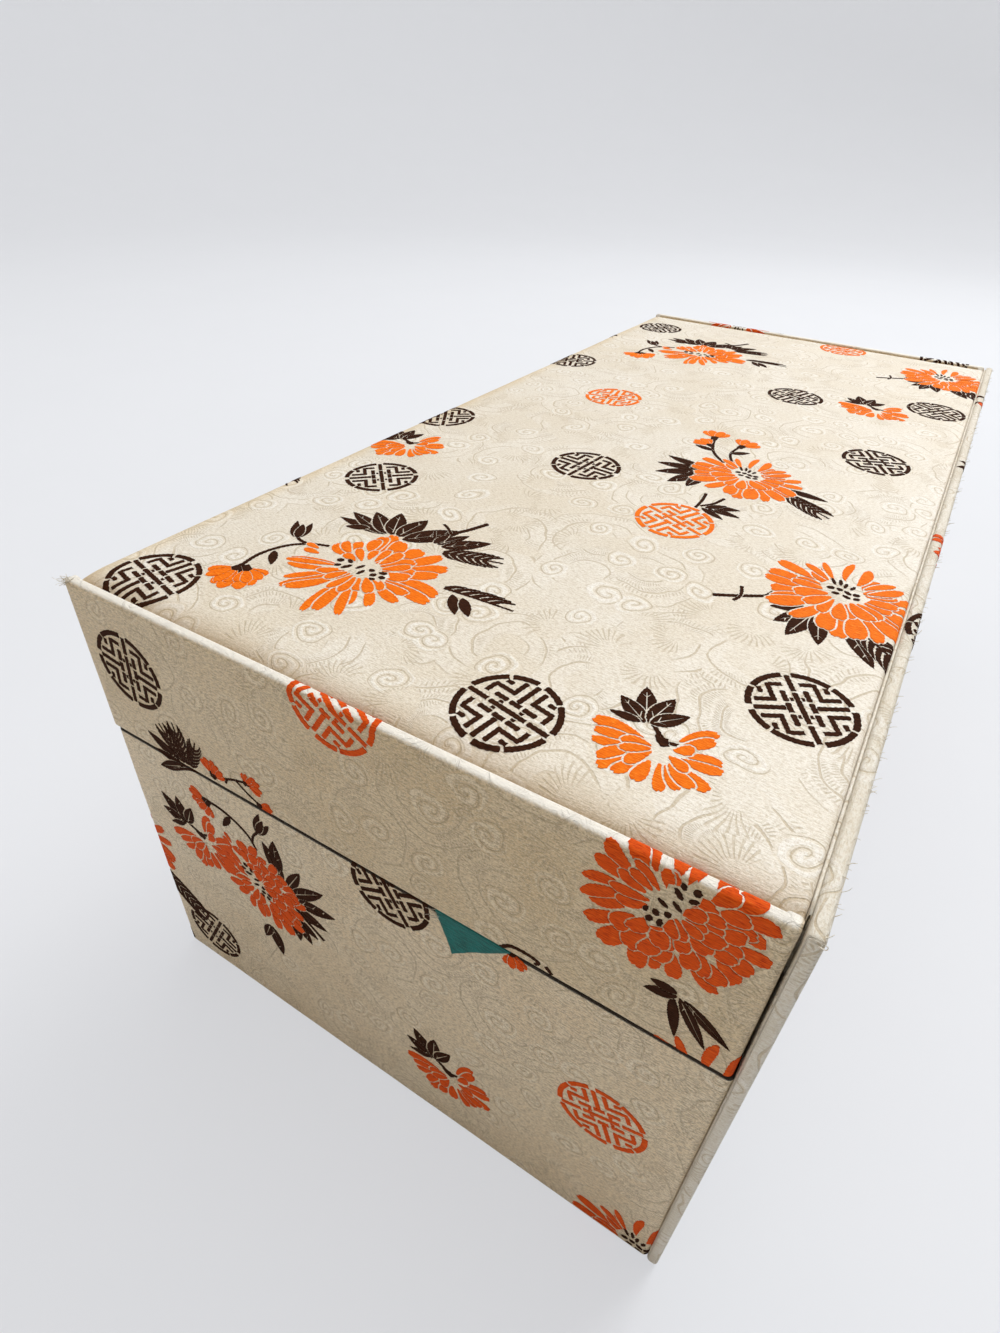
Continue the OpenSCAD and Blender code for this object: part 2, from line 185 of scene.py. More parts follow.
class Tray:
    """Cloth round four walls. u runs round the outline, anticlockwise from above, from the middle of the near side.
    low: (height, room at the ends) of long sides that are lower than the ends."""

    def __init__(self, w, l, r, cx, path, seed, low=None):
        self.w, self.l, self.r, self.cx, self.path, self.seed, self.low = w, l, r, cx, path, seed, low
        sides, arc = [w - 2 * r, l - 2 * r], r * PI / 2
        self.seg = [sides[0] / 2, arc, sides[1], arc, sides[0], arc, sides[1], arc, sides[0] / 2]
        self.cum = np.concatenate([[0], np.cumsum(self.seg)])
        self.round = self.cum[-1]

    def side(self, k, a):
        """u of the point a from the middle of side k (0 near, 1 back, 2 far, 3 front), along the way round."""
        mid = [0, self.cum[2] + self.seg[2] / 2, self.cum[4] + self.seg[4] / 2, self.cum[6] + self.seg[6] / 2][k]
        return mid + a

    def at(self, u, v, h=0.0):
        """Points and outward normals h above the cloth."""
        u, v = np.broadcast_arrays(np.asarray(u, float), np.asarray(v, float))
        d, z, nd, nz = self.path.at(v)
        nd, nz = -nd, -nz
        uu = np.mod(u, self.round)
        k = np.clip(np.searchsorted(self.cum, uu, side="right") - 1, 0, 8)
        s = uu - self.cum[k]
        rd = np.maximum(self.r - d, 0.05)
        hx, hy = self.w / 2 - d - rd, self.l / 2 - d - rd
        x, y, nx, ny = (np.zeros(uu.shape) for _ in range(4))
        turn = np.where(k % 2 == 1, np.radians(90) * s / self.seg[1], 0.0)
        # straight sides
        along = np.where(k == 0, s, np.where(k == 8, s - self.seg[8], s - np.array(self.seg)[k] / 2))
        for ks, (ox, oy) in (((0, 8), (0, -1)), ((2,), (1, 0)), ((4,), (0, 1)), ((6,), (-1, 0))):
            m = np.isin(k, ks)
            half = hx if ox == 0 else hy
            a = np.clip(along, -half, half)
            tx, ty = -oy, ox
            x = np.where(m, ox * (self.w / 2 - d) + tx * a, x)
            y = np.where(m, oy * (self.l / 2 - d) + ty * a, y)
            nx, ny = np.where(m, ox, nx), np.where(m, oy, ny)
        for ka, (sx, sy, a0) in ((1, (1, -1, -90)), (3, (1, 1, 0)), (5, (-1, 1, 90)), (7, (-1, -1, 180))):
            m = k == ka
            ang = math.radians(a0) + turn
            x = np.where(m, sx * hx + rd * np.cos(ang), x)
            y = np.where(m, sy * hy + rd * np.sin(ang), y)
            nx, ny = np.where(m, np.cos(ang), nx), np.where(m, np.sin(ang), ny)
        n = np.stack([-nd * nx, -nd * ny, nz], -1)
        if self.low:
            cut = np.isin(k, (2, 6)) & (np.abs(along) < self.l / 2 - self.low[1] - 1e-6) & (z > self.low[0])
            z = np.where(cut, self.low[0], z)
            n = np.where(cut[..., None], (0.0, 0.0, 1.0), n)
        p = np.stack([x + self.cx, y, z], -1)
        lift = h + ripple(uu, v, self.seed, 46, 0.05) + ripple(uu, v, self.seed + 1, 11, 0.03)
        return p + n * np.asarray(lift)[..., None], n

    def us(self, step):
        """Stations round the outline, closer together at the corners. The strip's ends meet at the middle of the back,
        or, where the long sides are low, it stops at the front's two ends."""
        out = []
        for k, length in enumerate(self.seg):
            n = 4 if k % 2 else max(2, 2 * int(round(length / step / 2)))
            out += [self.cum[k] + length * i / n for i in range(n)]
        out = np.array(out)
        if not self.low:
            meet = self.side(1, 0)
            out = np.where(out > meet + 1e-6, out - self.round, out)
            return np.concatenate([[meet - self.round + 0.02], np.sort(out)[:-1], [meet - 0.02]])
        end = self.l / 2 - self.low[1]
        out = np.where(out > self.side(2, 0) + self.w / 2 + 20, out - self.round, out)
        first, last = self.side(3, end) - self.round, self.side(3, -end)
        out = np.sort(out[(out > first + 0.05) & (out < last - 0.05)])
        near, far = self.side(1, -end), self.side(1, end)
        out = out[(np.abs(out - near) > 0.3) & (np.abs(out - far) > 0.3)]
        return np.sort(np.concatenate([[first - 0.02, first, near, near + 0.02, far - 0.02, far, last, last + 0.02], out]))

    def vs(self, step):
        v, out = self.path.v, []
        for a, b in zip(v[:-1], v[1:]):
            n = max(1, int(math.ceil((b - a) / step)))
            out += [a + (b - a) * i / n for i in range(n)]
        return np.array(out + [v[-1]])

    def skin(self, name, mats, step_u=4.0, step_v=5.0, t=0.3):
        us, vs = self.us(step_u), self.vs(step_v)
        uu, vv = np.meshgrid(us, vs)
        p, n = self.at(uu, vv)
        p, n = p.reshape(-1, 3), n.reshape(-1, 3)
        faces = [tuple(reversed(f)) for f in grid_faces(len(us), len(vs))]
        verts, faces = thicken(p, n, faces, t)
        cl = np.column_stack([uu.ravel(), vv.ravel()])
        return new_mesh(name, verts, faces, cloth=np.vstack([cl, cl]), mats=mats)


lw, ll, lz0, lz1 = lid_hi[0] - lid_lo[0], lid_hi[1] - lid_lo[1], lid_lo[2], lid_hi[2]
LCX = (lid_lo[0] + lid_hi[0]) / 2
BED = lz1 - RECESS  # height of the top board's face
IN_R = 0.85
EDGE_R = 0.4


def hem(path):
    """Cloth on from a lid wall's face: under the seam edge and up behind the wall."""
    path.to(0, lz0 + LOW_R).arc(LOW_R, lz0 + LOW_R, LOW_R, 180, 270, 5)
    path.to(WALL - EDGE_R, lz0).arc(WALL - EDGE_R, lz0 + EDGE_R, EDGE_R, 270, 360, 4).to(WALL, lz0 + TURN)


# Lid's ends and hinge side: from the top board up over an end's rim, down the wall and under the seam edge
lid_path = Path()
lid_path.to(WALL, BED).to(WALL, lz1 - IN_R, 2).arc(WALL - IN_R, lz1 - IN_R, IN_R, 0, 90, 6)
lid_path.to(RIM_R, lz1).arc(RIM_R, lz1 - RIM_R, RIM_R, 90, 180, 7)
hem(lid_path)
lid_path.done((RIM_R, lz1))
lid_tray = Tray(lw, ll, CORNER_R, LCX, lid_path, 11, (BED, WALL))

# Base: from behind its lining, over the seam edge, down the wall and in under the floor
bw, bl, bz0, bz1 = base_hi[0] - base_lo[0], base_hi[1] - base_lo[1], base_lo[2], base_hi[2]
base_path = Path()
base_path.to(WALL, bz1 - TURN).to(WALL, bz1 - EDGE_R, 2).arc(WALL - EDGE_R, bz1 - EDGE_R, EDGE_R, 0, 90, 4)
base_path.to(RIM_R, bz1).arc(RIM_R, bz1 - RIM_R, RIM_R, 90, 180, 7)
base_path.to(0, bz0 + LOW_R).arc(LOW_R, bz0 + LOW_R, LOW_R, 180, 270, 5).to(TURN, bz0, 3)
base_path.done((RIM_R, bz1))
base_tray = Tray(bw, bl, CORNER_R, (base_lo[0] + base_hi[0]) / 2, base_path, 23)


# Rounded boxes: the back board, linings


class RoundBox:
    """Closed box with rounded edges; faces are split about every step, and at the extra cuts of each axis."""

    def __init__(self, lo, hi, r, step=6.0, extra=((), (), ())):
        self.lo, self.hi, self.r, self.step, self.extra = np.array(lo, float), np.array(hi, float), r, step, extra

    def cuts(self, k, fine=3):
        a, b, r = self.lo[k], self.hi[k], self.r
        n = max(1, int(round((b - a - 2 * r) / self.step)))
        edge = [r * i / fine for i in range(fine)]
        mid = [a + r + (b - a - 2 * r) * i / n for i in range(n + 1)]
        mid = [m for m in mid if all(abs(m - e) > 0.4 for e in self.extra[k])] + list(self.extra[k])
        return np.array([a + e for e in edge] + sorted(mid) + [b - e for e in reversed(edge)])

    def build(self):
        """(points, normals, faces, cloth coordinates) of the outer surface."""
        cuts = [self.cuts(k) for k in range(3)]
        index, raw, faces = {}, [], []

        def vert(p):
            key = tuple(round(x, 5) for x in p)
            if key not in index:
                index[key] = len(raw)
                raw.append(p)
            return index[key]

        for k in range(3):
            i, j = (k + 1) % 3, (k + 2) % 3
            for end in (0, 1):
                at = (self.lo if end == 0 else self.hi)[k]
                for a0, a1 in zip(cuts[i][:-1], cuts[i][1:]):
                    for b0, b1 in zip(cuts[j][:-1], cuts[j][1:]):
                        quad = []
                        for a, b in ((a0, b0), (a1, b0), (a1, b1), (a0, b1)):
                            p = [0.0] * 3
                            p[k], p[i], p[j] = at, a, b
                            quad.append(vert(p))
                        faces.append(tuple(quad if end else reversed(quad)))
        raw = np.array(raw)
        core = np.clip(raw, self.lo + self.r, self.hi - self.r)
        n = unit(raw - core)
        return core + n * self.r, n, faces, raw


def soft_board(name, node, r, step, mats):
    """A card wrapped in cloth, in the place of its node."""
    lo, hi = box_mm(node)
    p, _, faces, raw = RoundBox(lo, hi, r, step).build()
    thin = int(np.argmin(hi - lo))
    keep = [k for k in range(3) if k != thin]
    ob = new_mesh(name, p, faces, cloth=raw[:, keep], mats=mats)
    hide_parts(node)
    return ob


# Padding


def heights(xs, ys, upper, lower):
    """Closed pad between two height grids over the lines xs and ys."""
    nu, nv = len(xs), len(ys)
    xx, yy = np.meshgrid(xs, ys)
    top = np.column_stack([xx.ravel(), yy.ravel(), upper(xx, yy).ravel()])
    low = np.column_stack([xx.ravel(), yy.ravel(), lower(xx, yy).ravel()])
    up = grid_faces(nu, nv)
    n = nu * nv
    faces = up + [tuple(n + k for k in reversed(f)) for f in up] + [(b, a, n + a, n + b) for a, b in boundary(up)]
    return np.vstack([top, low]), faces


def spread(size, near, step):
    """Lines across a size: the near distances from both edges, and about every step between."""
    n = int((size - 2 * near[-1]) / step)
    mid = [near[-1] - size / 2 + (size - 2 * near[-1]) * i / n for i in range(1, n)]
    return np.array([d - size / 2 for d in near] + mid + [size / 2 - d for d in reversed(near)])


def cushion(name, node, side, seed, mats):
    """Silk-covered wadding on a card, crowned towards side (1 up, -1 down), with softened edges."""
    lo, hi = box_mm(node)
    w, l, t = hi[0] - lo[0], hi[1] - lo[1], hi[2] - lo[2]
    near = [0, 0.12, 0.35, 0.7, 1.2, 2.2, 3.6, 5.4, 7.6, 10]
    xs, ys = spread(w, near, 5), spread(l, near, 5)
    edge, shoulder, crown = t * 0.29, t * 0.345, t * 0.365

    def rise(x, y):
        e = soft_min(w / 2 - np.abs(x), l / 2 - np.abs(y), 1.5)
        e = np.maximum(e, 0)
        z = edge + shoulder * (1 - (1 - np.minimum(e / 9.0, 1)) ** 2)
        z = z - 0.55 * (1 - np.sqrt(1 - (1 - np.minimum(e / 0.7, 1)) ** 2))
        inside = np.minimum(e / 12.0, 1)
        z = z + crown * 0.9 * (1 - (2 * x / w) ** 2) * (1 - (2 * y / l) ** 2) + ripple(x, y, seed, 60, 0.28) * inside
        pull = np.exp(-((e - 3.0) / 2.6) ** 2)
        along = np.where(w / 2 - np.abs(x) < l / 2 - np.abs(y), y, x)
        return z + ripple(along, along * 0, seed + 1, 13, 0.16) * pull

    verts, faces = heights(xs, ys, rise, lambda x, y: np.zeros(x.shape))
    cl = verts[:, :2].copy()
    if side < 0:
        verts = verts * (1, 1, -1)
        faces = [tuple(reversed(f)) for f in faces]
    verts = verts + ((lo[0] + hi[0]) / 2, (lo[1] + hi[1]) / 2, lo[2] if side > 0 else hi[2])
    ob = new_mesh(name, verts, faces, cloth=cl, mats=mats)
    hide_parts(node)
    return ob


def soft_min(a, b, k):
    h = np.clip(0.5 + 0.5 * (b - a) / k, 0, 1)
    return b * (1 - h) + a * h - k * h * (1 - h)


# The padded top

TOP_HALF = ll / 2 - WALL - 0.25  # half length, between the end rims
ROLL_W, ROLL_LEN, FOOT = 4.0, 5.2, BED + 0.3
CREASE_R = 0.9


class TopCloth:
    """Cloth of the lid's top over x and y. Past the right edge x runs down into the crease; past the left edge it runs
    over the roll, down the opening side, under the seam edge and up behind it."""

    def __init__(self):
        self.half = lw / 2
        self.roll = ROLL_W - self.half
        self.fall = self.roll - ROLL_LEN
        self.right = self.half - CREASE_R
        self.end = self.right + CREASE_R * PI / 2 + 0.5
        self.path = Path()
        self.path.to(0, FOOT)
        hem(self.path)
        self.path.done((0, FOOT))

    def face(self, x, y):
        """Height of the padded face, without its rolled edges."""
        e = np.maximum(TOP_HALF - np.abs(y), 0)
        left, right = np.maximum(x + self.half, 0), np.maximum(self.half - x, 0)
        z = lz1 - 1.5 + 1.3 * (1 - (1 - np.minimum(e / 7.0, 1)) ** 2)
        z = z + 1.8 * (1 - (2 * x / lw) ** 2) * (1 - (2 * y / (2 * TOP_HALF)) ** 2)
        z = z - 1.0 * (1 - np.sqrt(1 - (1 - np.minimum(e / 2.4, 1)) ** 2))
        inside = np.minimum(soft_min(soft_min(e, left, 4.0), right, 4.0) / 9.0, 1)
        z = z + (ripple(x, y, 5, 70, 0.34) + ripple(x, y, 6, 24, 0.12)) * np.maximum(inside, 0)
        z = z + ripple(x, x * 0, 8, 15, 0.16) * np.exp(-((e - 2.5) / 2.2) ** 2)
        z = z + ripple(y, y * 0, 9, 17, 0.12) * np.exp(-((right - 3.0) / 2.2) ** 2)
        # faint long folds beside the opening side
        fold = np.sin((x + ripple(y, x, 14, 60, 1.6)) * 2 * PI / 3.1)
        return z + 0.055 * fold * np.exp(-((left - 7.0) / 4.0) ** 2)

    def place(self, x, y):
        xt = np.clip(x, self.roll, self.right)
        face = self.face(xt, y)
        a = np.clip((self.roll - x) / ROLL_LEN, 0, 1) * PI / 2
        b = np.clip((x - self.right) / CREASE_R, 0, PI / 2)
        px = xt - ROLL_W * np.sin(a) + (CREASE_R - 0.02) * np.sin(b)
        pz = FOOT + (face - FOOT) * np.cos(a) - CREASE_R * (1 - np.cos(b)) - np.maximum(x - self.right - CREASE_R * PI / 2, 0)
        d, z, _, _ = self.path.at(self.fall - x)
        low = x < self.fall
        return np.stack([np.where(low, d - self.half, px) + LCX, y + 0.0 * pz, np.where(low, z, pz)], -1)

    def at(self, x, y, h=0.0):
        x, y = np.broadcast_arrays(np.asarray(x, float), np.asarray(y, float))
        e = 0.04
        p = self.place(x, y)
        n = unit(np.cross(self.place(x + e, y) - self.place(x - e, y), self.place(x, y + e) - self.place(x, y - e)))
        lift = np.asarray(h) + ripple(x, y, 12, 40, 0.05) * np.clip((self.fall - x) / 6, 0, 1)
        return p + n * lift[..., None], n

    def lines_x(self):
        left = [0.65 * i for i in range(9)]
        xs = [self.roll - d for d in left[:-1]] + [self.fall - float(v) for v in self.path.v]
        v = [float(q) for q in self.path.v]
        for a, b in zip(v[:-1], v[1:]):
            n = int(math.ceil((b - a) / 5.0))
            xs += [self.fall - (a + (b - a) * i / n) for i in range(1, n)]
        near = [1.1, 2.2, 3.3, 4.4, 5.5, 6.6, 7.7, 8.8, 10.0]
        xs += [self.roll + d for d in near]
        n = int((self.right - self.roll - 16) / 2.6)
        xs += [self.roll + 10.0 + (self.right - self.roll - 16) * i / n for i in range(1, n + 1)]
        xs += [self.right - d for d in (4.8, 3.6, 2.6, 1.7, 1.0, 0.4, 0)]
        xs += [self.right + CREASE_R * PI / 2 * i / 5 for i in range(1, 6)] + [self.end]
        out = []
        for x in sorted(xs):
            if not out or x - out[-1] > 0.03:
                out.append(x)
        return np.array(out)

    def lines_y(self):
        return spread(2 * TOP_HALF, [0, 0.5, 1.1, 1.9, 2.8, 3.8, 5.0, 6.4, 8.0, 10.0], 2.6)

    def skin(self, name, mats, t=0.32):
        xs, ys = self.lines_x(), self.lines_y()
        xx, yy = np.meshgrid(xs, ys)
        p, n = self.at(xx, yy)
        nu = len(xs)
        rows_p, rows_n, rows_c = [p[0], p[-1]], [n[0], n[-1]], [np.column_stack([xs, yy[0]]), np.column_stack([xs, yy[-1]])]
        tucks = []
        for k, side in ((0, -1.0), (1, 1.0)):
            # at the two ends the cloth turns down beside the rim; on the opening side it only turns in
            base, out = rows_p[k], []
            drop = np.maximum(base[:, 2] - BED - 0.03, 0.02)
            wall = xs < self.fall + 1.5
            for ang, share in ((40, 0.14), (85, 0.45), (90, 1.0)):
                q = base.copy()
                q[:, 2] = np.where(wall, base[:, 2], base[:, 2] - drop * share)
                q = q - np.where(wall[:, None], rows_n[k] * 0.2 * share, 0)
                a = math.radians(ang)
                nn = unit(rows_n[k] * math.cos(a) + np.array([0, side * math.sin(a), 0]))
                out.append((q, nn, rows_c[k] + np.array([0, side]) * np.where(wall, 0.2, drop)[:, None] * share))
            tucks.append(out)
        order = [(q.reshape(-1, 3), m, c) for q, m, c in reversed(tucks[0])]
        order += [(p[j], n[j], np.column_stack([xs, np.full(nu, ys[j])])) for j in range(len(ys))]
        order += [(q, m, c) for q, m, c in tucks[1]]
        pts = np.vstack([q for q, _, _ in order])
        nrm = np.vstack([m for _, m, _ in order])
        cl = np.vstack([c for _, _, c in order])
        verts, faces = thicken(pts, nrm, grid_faces(nu, len(order)), t)
        return new_mesh(name, verts, faces, cloth=np.vstack([cl, cl]), mats=mats)


top = TopCloth()

# Camera

cam_data = bpy.data.cameras.new("camera")
cam = bpy.data.objects.new("camera", cam_data)
bpy.context.scene.collection.objects.link(cam)
eye = Vector((0.07118, -0.24617, 0.22242))
right, down, ahead = (Vector(v) for v in ((0.85174, 0.52240, 0.04050), (0.34243, -0.49646, -0.79766),
                                          (-0.39659, 0.69327, -0.60174)))
cam.matrix_world = Matrix(((right.x, -down.x, -ahead.x, eye.x), (right.y, -down.y, -ahead.y, eye.y),
                           (right.z, -down.z, -ahead.z, eye.z), (0, 0, 0, 1)))
cam_data.sensor_fit = "VERTICAL"
cam_data.sensor_height = 36
cam_data.lens = 743.8 / 1333 * 36
cam_data.clip_start, cam_data.clip_end = 0.01, 20
bpy.context.scene.camera = cam
bpy.context.scene.view_settings.view_transform = "Standard"


# Node helper


class Nodes:
    """Builds a material's node tree with short calls."""

    def __init__(self, name):
        self.mat = bpy.data.materials.new(name)
        self.mat.use_nodes = True
        self.tree = self.mat.node_tree
        self.tree.nodes.clear()
        self.out = self.tree.nodes.new("ShaderNodeOutputMaterial")

    def new(self, kind, **props):
        n = self.tree.nodes.new("ShaderNode" + kind)
        for k, v in props.items():
            setattr(n, k, v)
        return n

    def put(self, socket, value):
        if isinstance(value, bpy.types.NodeSocket):
            self.tree.links.new(value, socket)
        elif value is not None:
            if hasattr(socket.default_value, "__len__") and not hasattr(value, "__len__"):
                value = [value] * len(socket.default_value)
            if hasattr(value, "__len__") and len(value) == 3 and len(socket.default_value) == 4:
                value = (*value, 1.0)
            socket.default_value = value

    def math(self, op, a, b=None, c=None, clamp=False):
        n = self.new("Math", operation=op, use_clamp=clamp)
        for s, v in zip(n.inputs, (a, b, c)):
            self.put(s, v)
        return n.outputs[0]

    def vec(self, op, a, b=None, scale=None):
        n = self.new("VectorMath", operation=op)
        self.put(n.inputs[0], a)
        if b is not None:
            self.put(n.inputs[1], b)
        if scale is not None:
            self.put(n.inputs["Scale"], scale)
        return n.outputs["Value"] if op in ("LENGTH", "DISTANCE", "DOT_PRODUCT") else n.outputs["Vector"]

    def ramp(self, x, lo, hi, out_lo=0.0, out_hi=1.0, smooth=True):
        n = self.new("MapRange", interpolation_type="SMOOTHSTEP" if smooth else "LINEAR")
        for s, v in zip(n.inputs, (x, lo, hi, out_lo, out_hi)):
            self.put(s, v)
        return n.outputs[0]

    def noise(self, p, scale, detail=2.0, rough=0.5, color=False):
        n = self.new("TexNoise")
        self.put(n.inputs["Vector"], p)
        self.put(n.inputs["Scale"], scale)
        self.put(n.inputs["Detail"], detail)
        self.put(n.inputs["Roughness"], rough)
        return n.outputs["Color" if color else 0]

    def mix(self, f, a, b, mode="MIX"):
        n = self.new("Mix", data_type="RGBA", blend_type=mode)
        n.clamp_factor = True
        self.put(n.inputs[0], f)
        self.put(n.inputs[6], a)
        self.put(n.inputs[7], b)
        return n.outputs[2]

    def attr(self, name="cloth"):
        return self.new("Attribute", attribute_name=name, attribute_type="GEOMETRY").outputs["Vector"]

    def xyz(self, v):
        n = self.new("SeparateXYZ")
        self.put(n.inputs[0], v)
        return n.outputs

    def join(self, x, y, z=0.0):
        n = self.new("CombineXYZ")
        for s, v in zip(n.inputs, (x, y, z)):
            self.put(s, v)
        return n.outputs[0]

    def bump(self, height, distance, strength=1.0, normal=None):
        n = self.new("Bump")
        self.put(n.inputs["Height"], height)
        n.inputs["Distance"].default_value = distance
        n.inputs["Strength"].default_value = strength
        if normal is not None:
            self.put(n.inputs["Normal"], normal)
        return n.outputs[0]

    def principled(self, color, rough, normal=None, **fixed):
        n = self.new("BsdfPrincipled")
        self.put(n.inputs["Base Color"], color)
        self.put(n.inputs["Roughness"], rough)
        if normal is not None:
            self.put(n.inputs["Normal"], normal)
        for k, v in fixed.items():
            self.put(n.inputs[k.replace("_", " ")], v)
        self.tree.links.new(n.outputs[0], self.out.inputs[0])
        return self.mat


def whorls(n, p, size, loose):
    """Cells about SIZE mm across: mm from the cell's middle, the turn round it, and its three random numbers."""
    cells = n.new("TexVoronoi", voronoi_dimensions="2D", feature="F1")
    n.put(cells.inputs["Vector"], p)
    n.put(cells.inputs["Scale"], 1 / size)
    n.put(cells.inputs["Randomness"], loose)
    ax, ay, _ = n.xyz(n.vec("SUBTRACT", p, cells.outputs["Position"]))
    turn = n.math("DIVIDE", n.math("ARCTAN2", ay, ax), 2 * PI)
    return n.vec("LENGTH", n.join(ax, ay)), turn, n.xyz(cells.outputs["Color"])


def spiral(n, r, turn, hue, pitch):
    """Mm from the middle line of the arm of a spiral, which turns either way."""
    way = n.math("SUBTRACT", n.math("MULTIPLY", n.math("GREATER_THAN", hue[0], 0.5), 2.0), 1.0)
    arm = n.math("ADD", n.math("ADD", n.math("DIVIDE", r, pitch), n.math("MULTIPLY", turn, way)), hue[1])
    return n.math("MULTIPLY", n.math("ABSOLUTE", n.math("SUBTRACT", n.math("FRACT", arm), 0.5)), pitch)


def damask(n, p):
    """Woven figure of the ground: small curls, wide scrolls with a combed edge and fans, and where they are filled."""
    warp = n.vec("SCALE", n.vec("SUBTRACT", n.noise(p, 0.07, 2, 0.5, color=True), (0.5, 0.5, 0.5)), scale=7.0)
    q = n.vec("ADD", p, warp)
    r, turn, hue = whorls(n, q, 12.5, 0.8)
    pitch = n.ramp(hue[2], 0, 1, 1.7, 2.6, smooth=False)
    off = spiral(n, r, turn, hue, pitch)
    is_fan = n.math("GREATER_THAN", hue[1], 0.62)
    curled = n.math("MULTIPLY", n.ramp(r, 4.2, 3.8), n.math("SUBTRACT", 1.0, is_fan))
    curl = n.math("MULTIPLY", n.ramp(off, 0.22, 0.1), curled)
    fill = n.math("MULTIPLY", n.ramp(off, 0.5, 0.75), curled)
    # wide scrolls that sweep round half of the larger cells, with short strokes combed out from each arm
    wide, sweep, tint = whorls(n, q, 25.0, 0.8)
    span = n.math("MULTIPLY", n.ramp(wide, 3.0, 4.5), n.ramp(wide, 15.5, 13.5))
    half = n.ramp(n.math("COSINE", n.math("MULTIPLY", n.math("ADD", sweep, tint[0]), 2 * PI)), -0.75, -0.5)
    span = n.math("MULTIPLY", n.math("MULTIPLY", span, half), n.ramp(r, 4.3, 4.8))
    arm = spiral(n, wide, sweep, tint, 4.2)
    scroll = n.math("MULTIPLY", n.ramp(arm, 0.3, 0.16), span)
    comb = n.math("SINE", n.math("ADD", n.math("MULTIPLY", sweep, 2 * PI * 74), n.math("MULTIPLY", arm, 1.6)))
    comb = n.math("MULTIPLY", n.ramp(comb, 0.1, 0.7), n.math("MULTIPLY", n.ramp(arm, 0.4, 0.6), n.ramp(arm, 2.0, 1.5)))
    comb = n.math("MULTIPLY", comb, n.math("MULTIPLY", span, n.ramp(n.noise(p, 0.08, 1), 0.48, 0.56)))
    # fans: fine rays that spread from some of the cells
    rays = n.math("SINE", n.math("ADD", n.math("MULTIPLY", turn, 2 * PI * 26), n.math("MULTIPLY", r, 0.5)))
    fan = n.math("MULTIPLY", n.ramp(rays, 0.2, 0.8), n.math("MULTIPLY", n.ramp(r, 2.0, 2.8), n.ramp(r, 7.0, 6.0)))
    aim = n.math("COSINE", n.math("MULTIPLY", n.math("ADD", turn, hue[0]), 2 * PI))
    fan = n.math("MULTIPLY", fan, n.math("MULTIPLY", is_fan, n.ramp(aim, 0.1, 0.4)))
    line = n.math("MAXIMUM", n.math("MAXIMUM", curl, scroll), n.math("MULTIPLY", n.math("MAXIMUM", fan, comb), 0.85))
    return line, n.math("MAXIMUM", fill, n.math("MULTIPLY", span, 0.4))


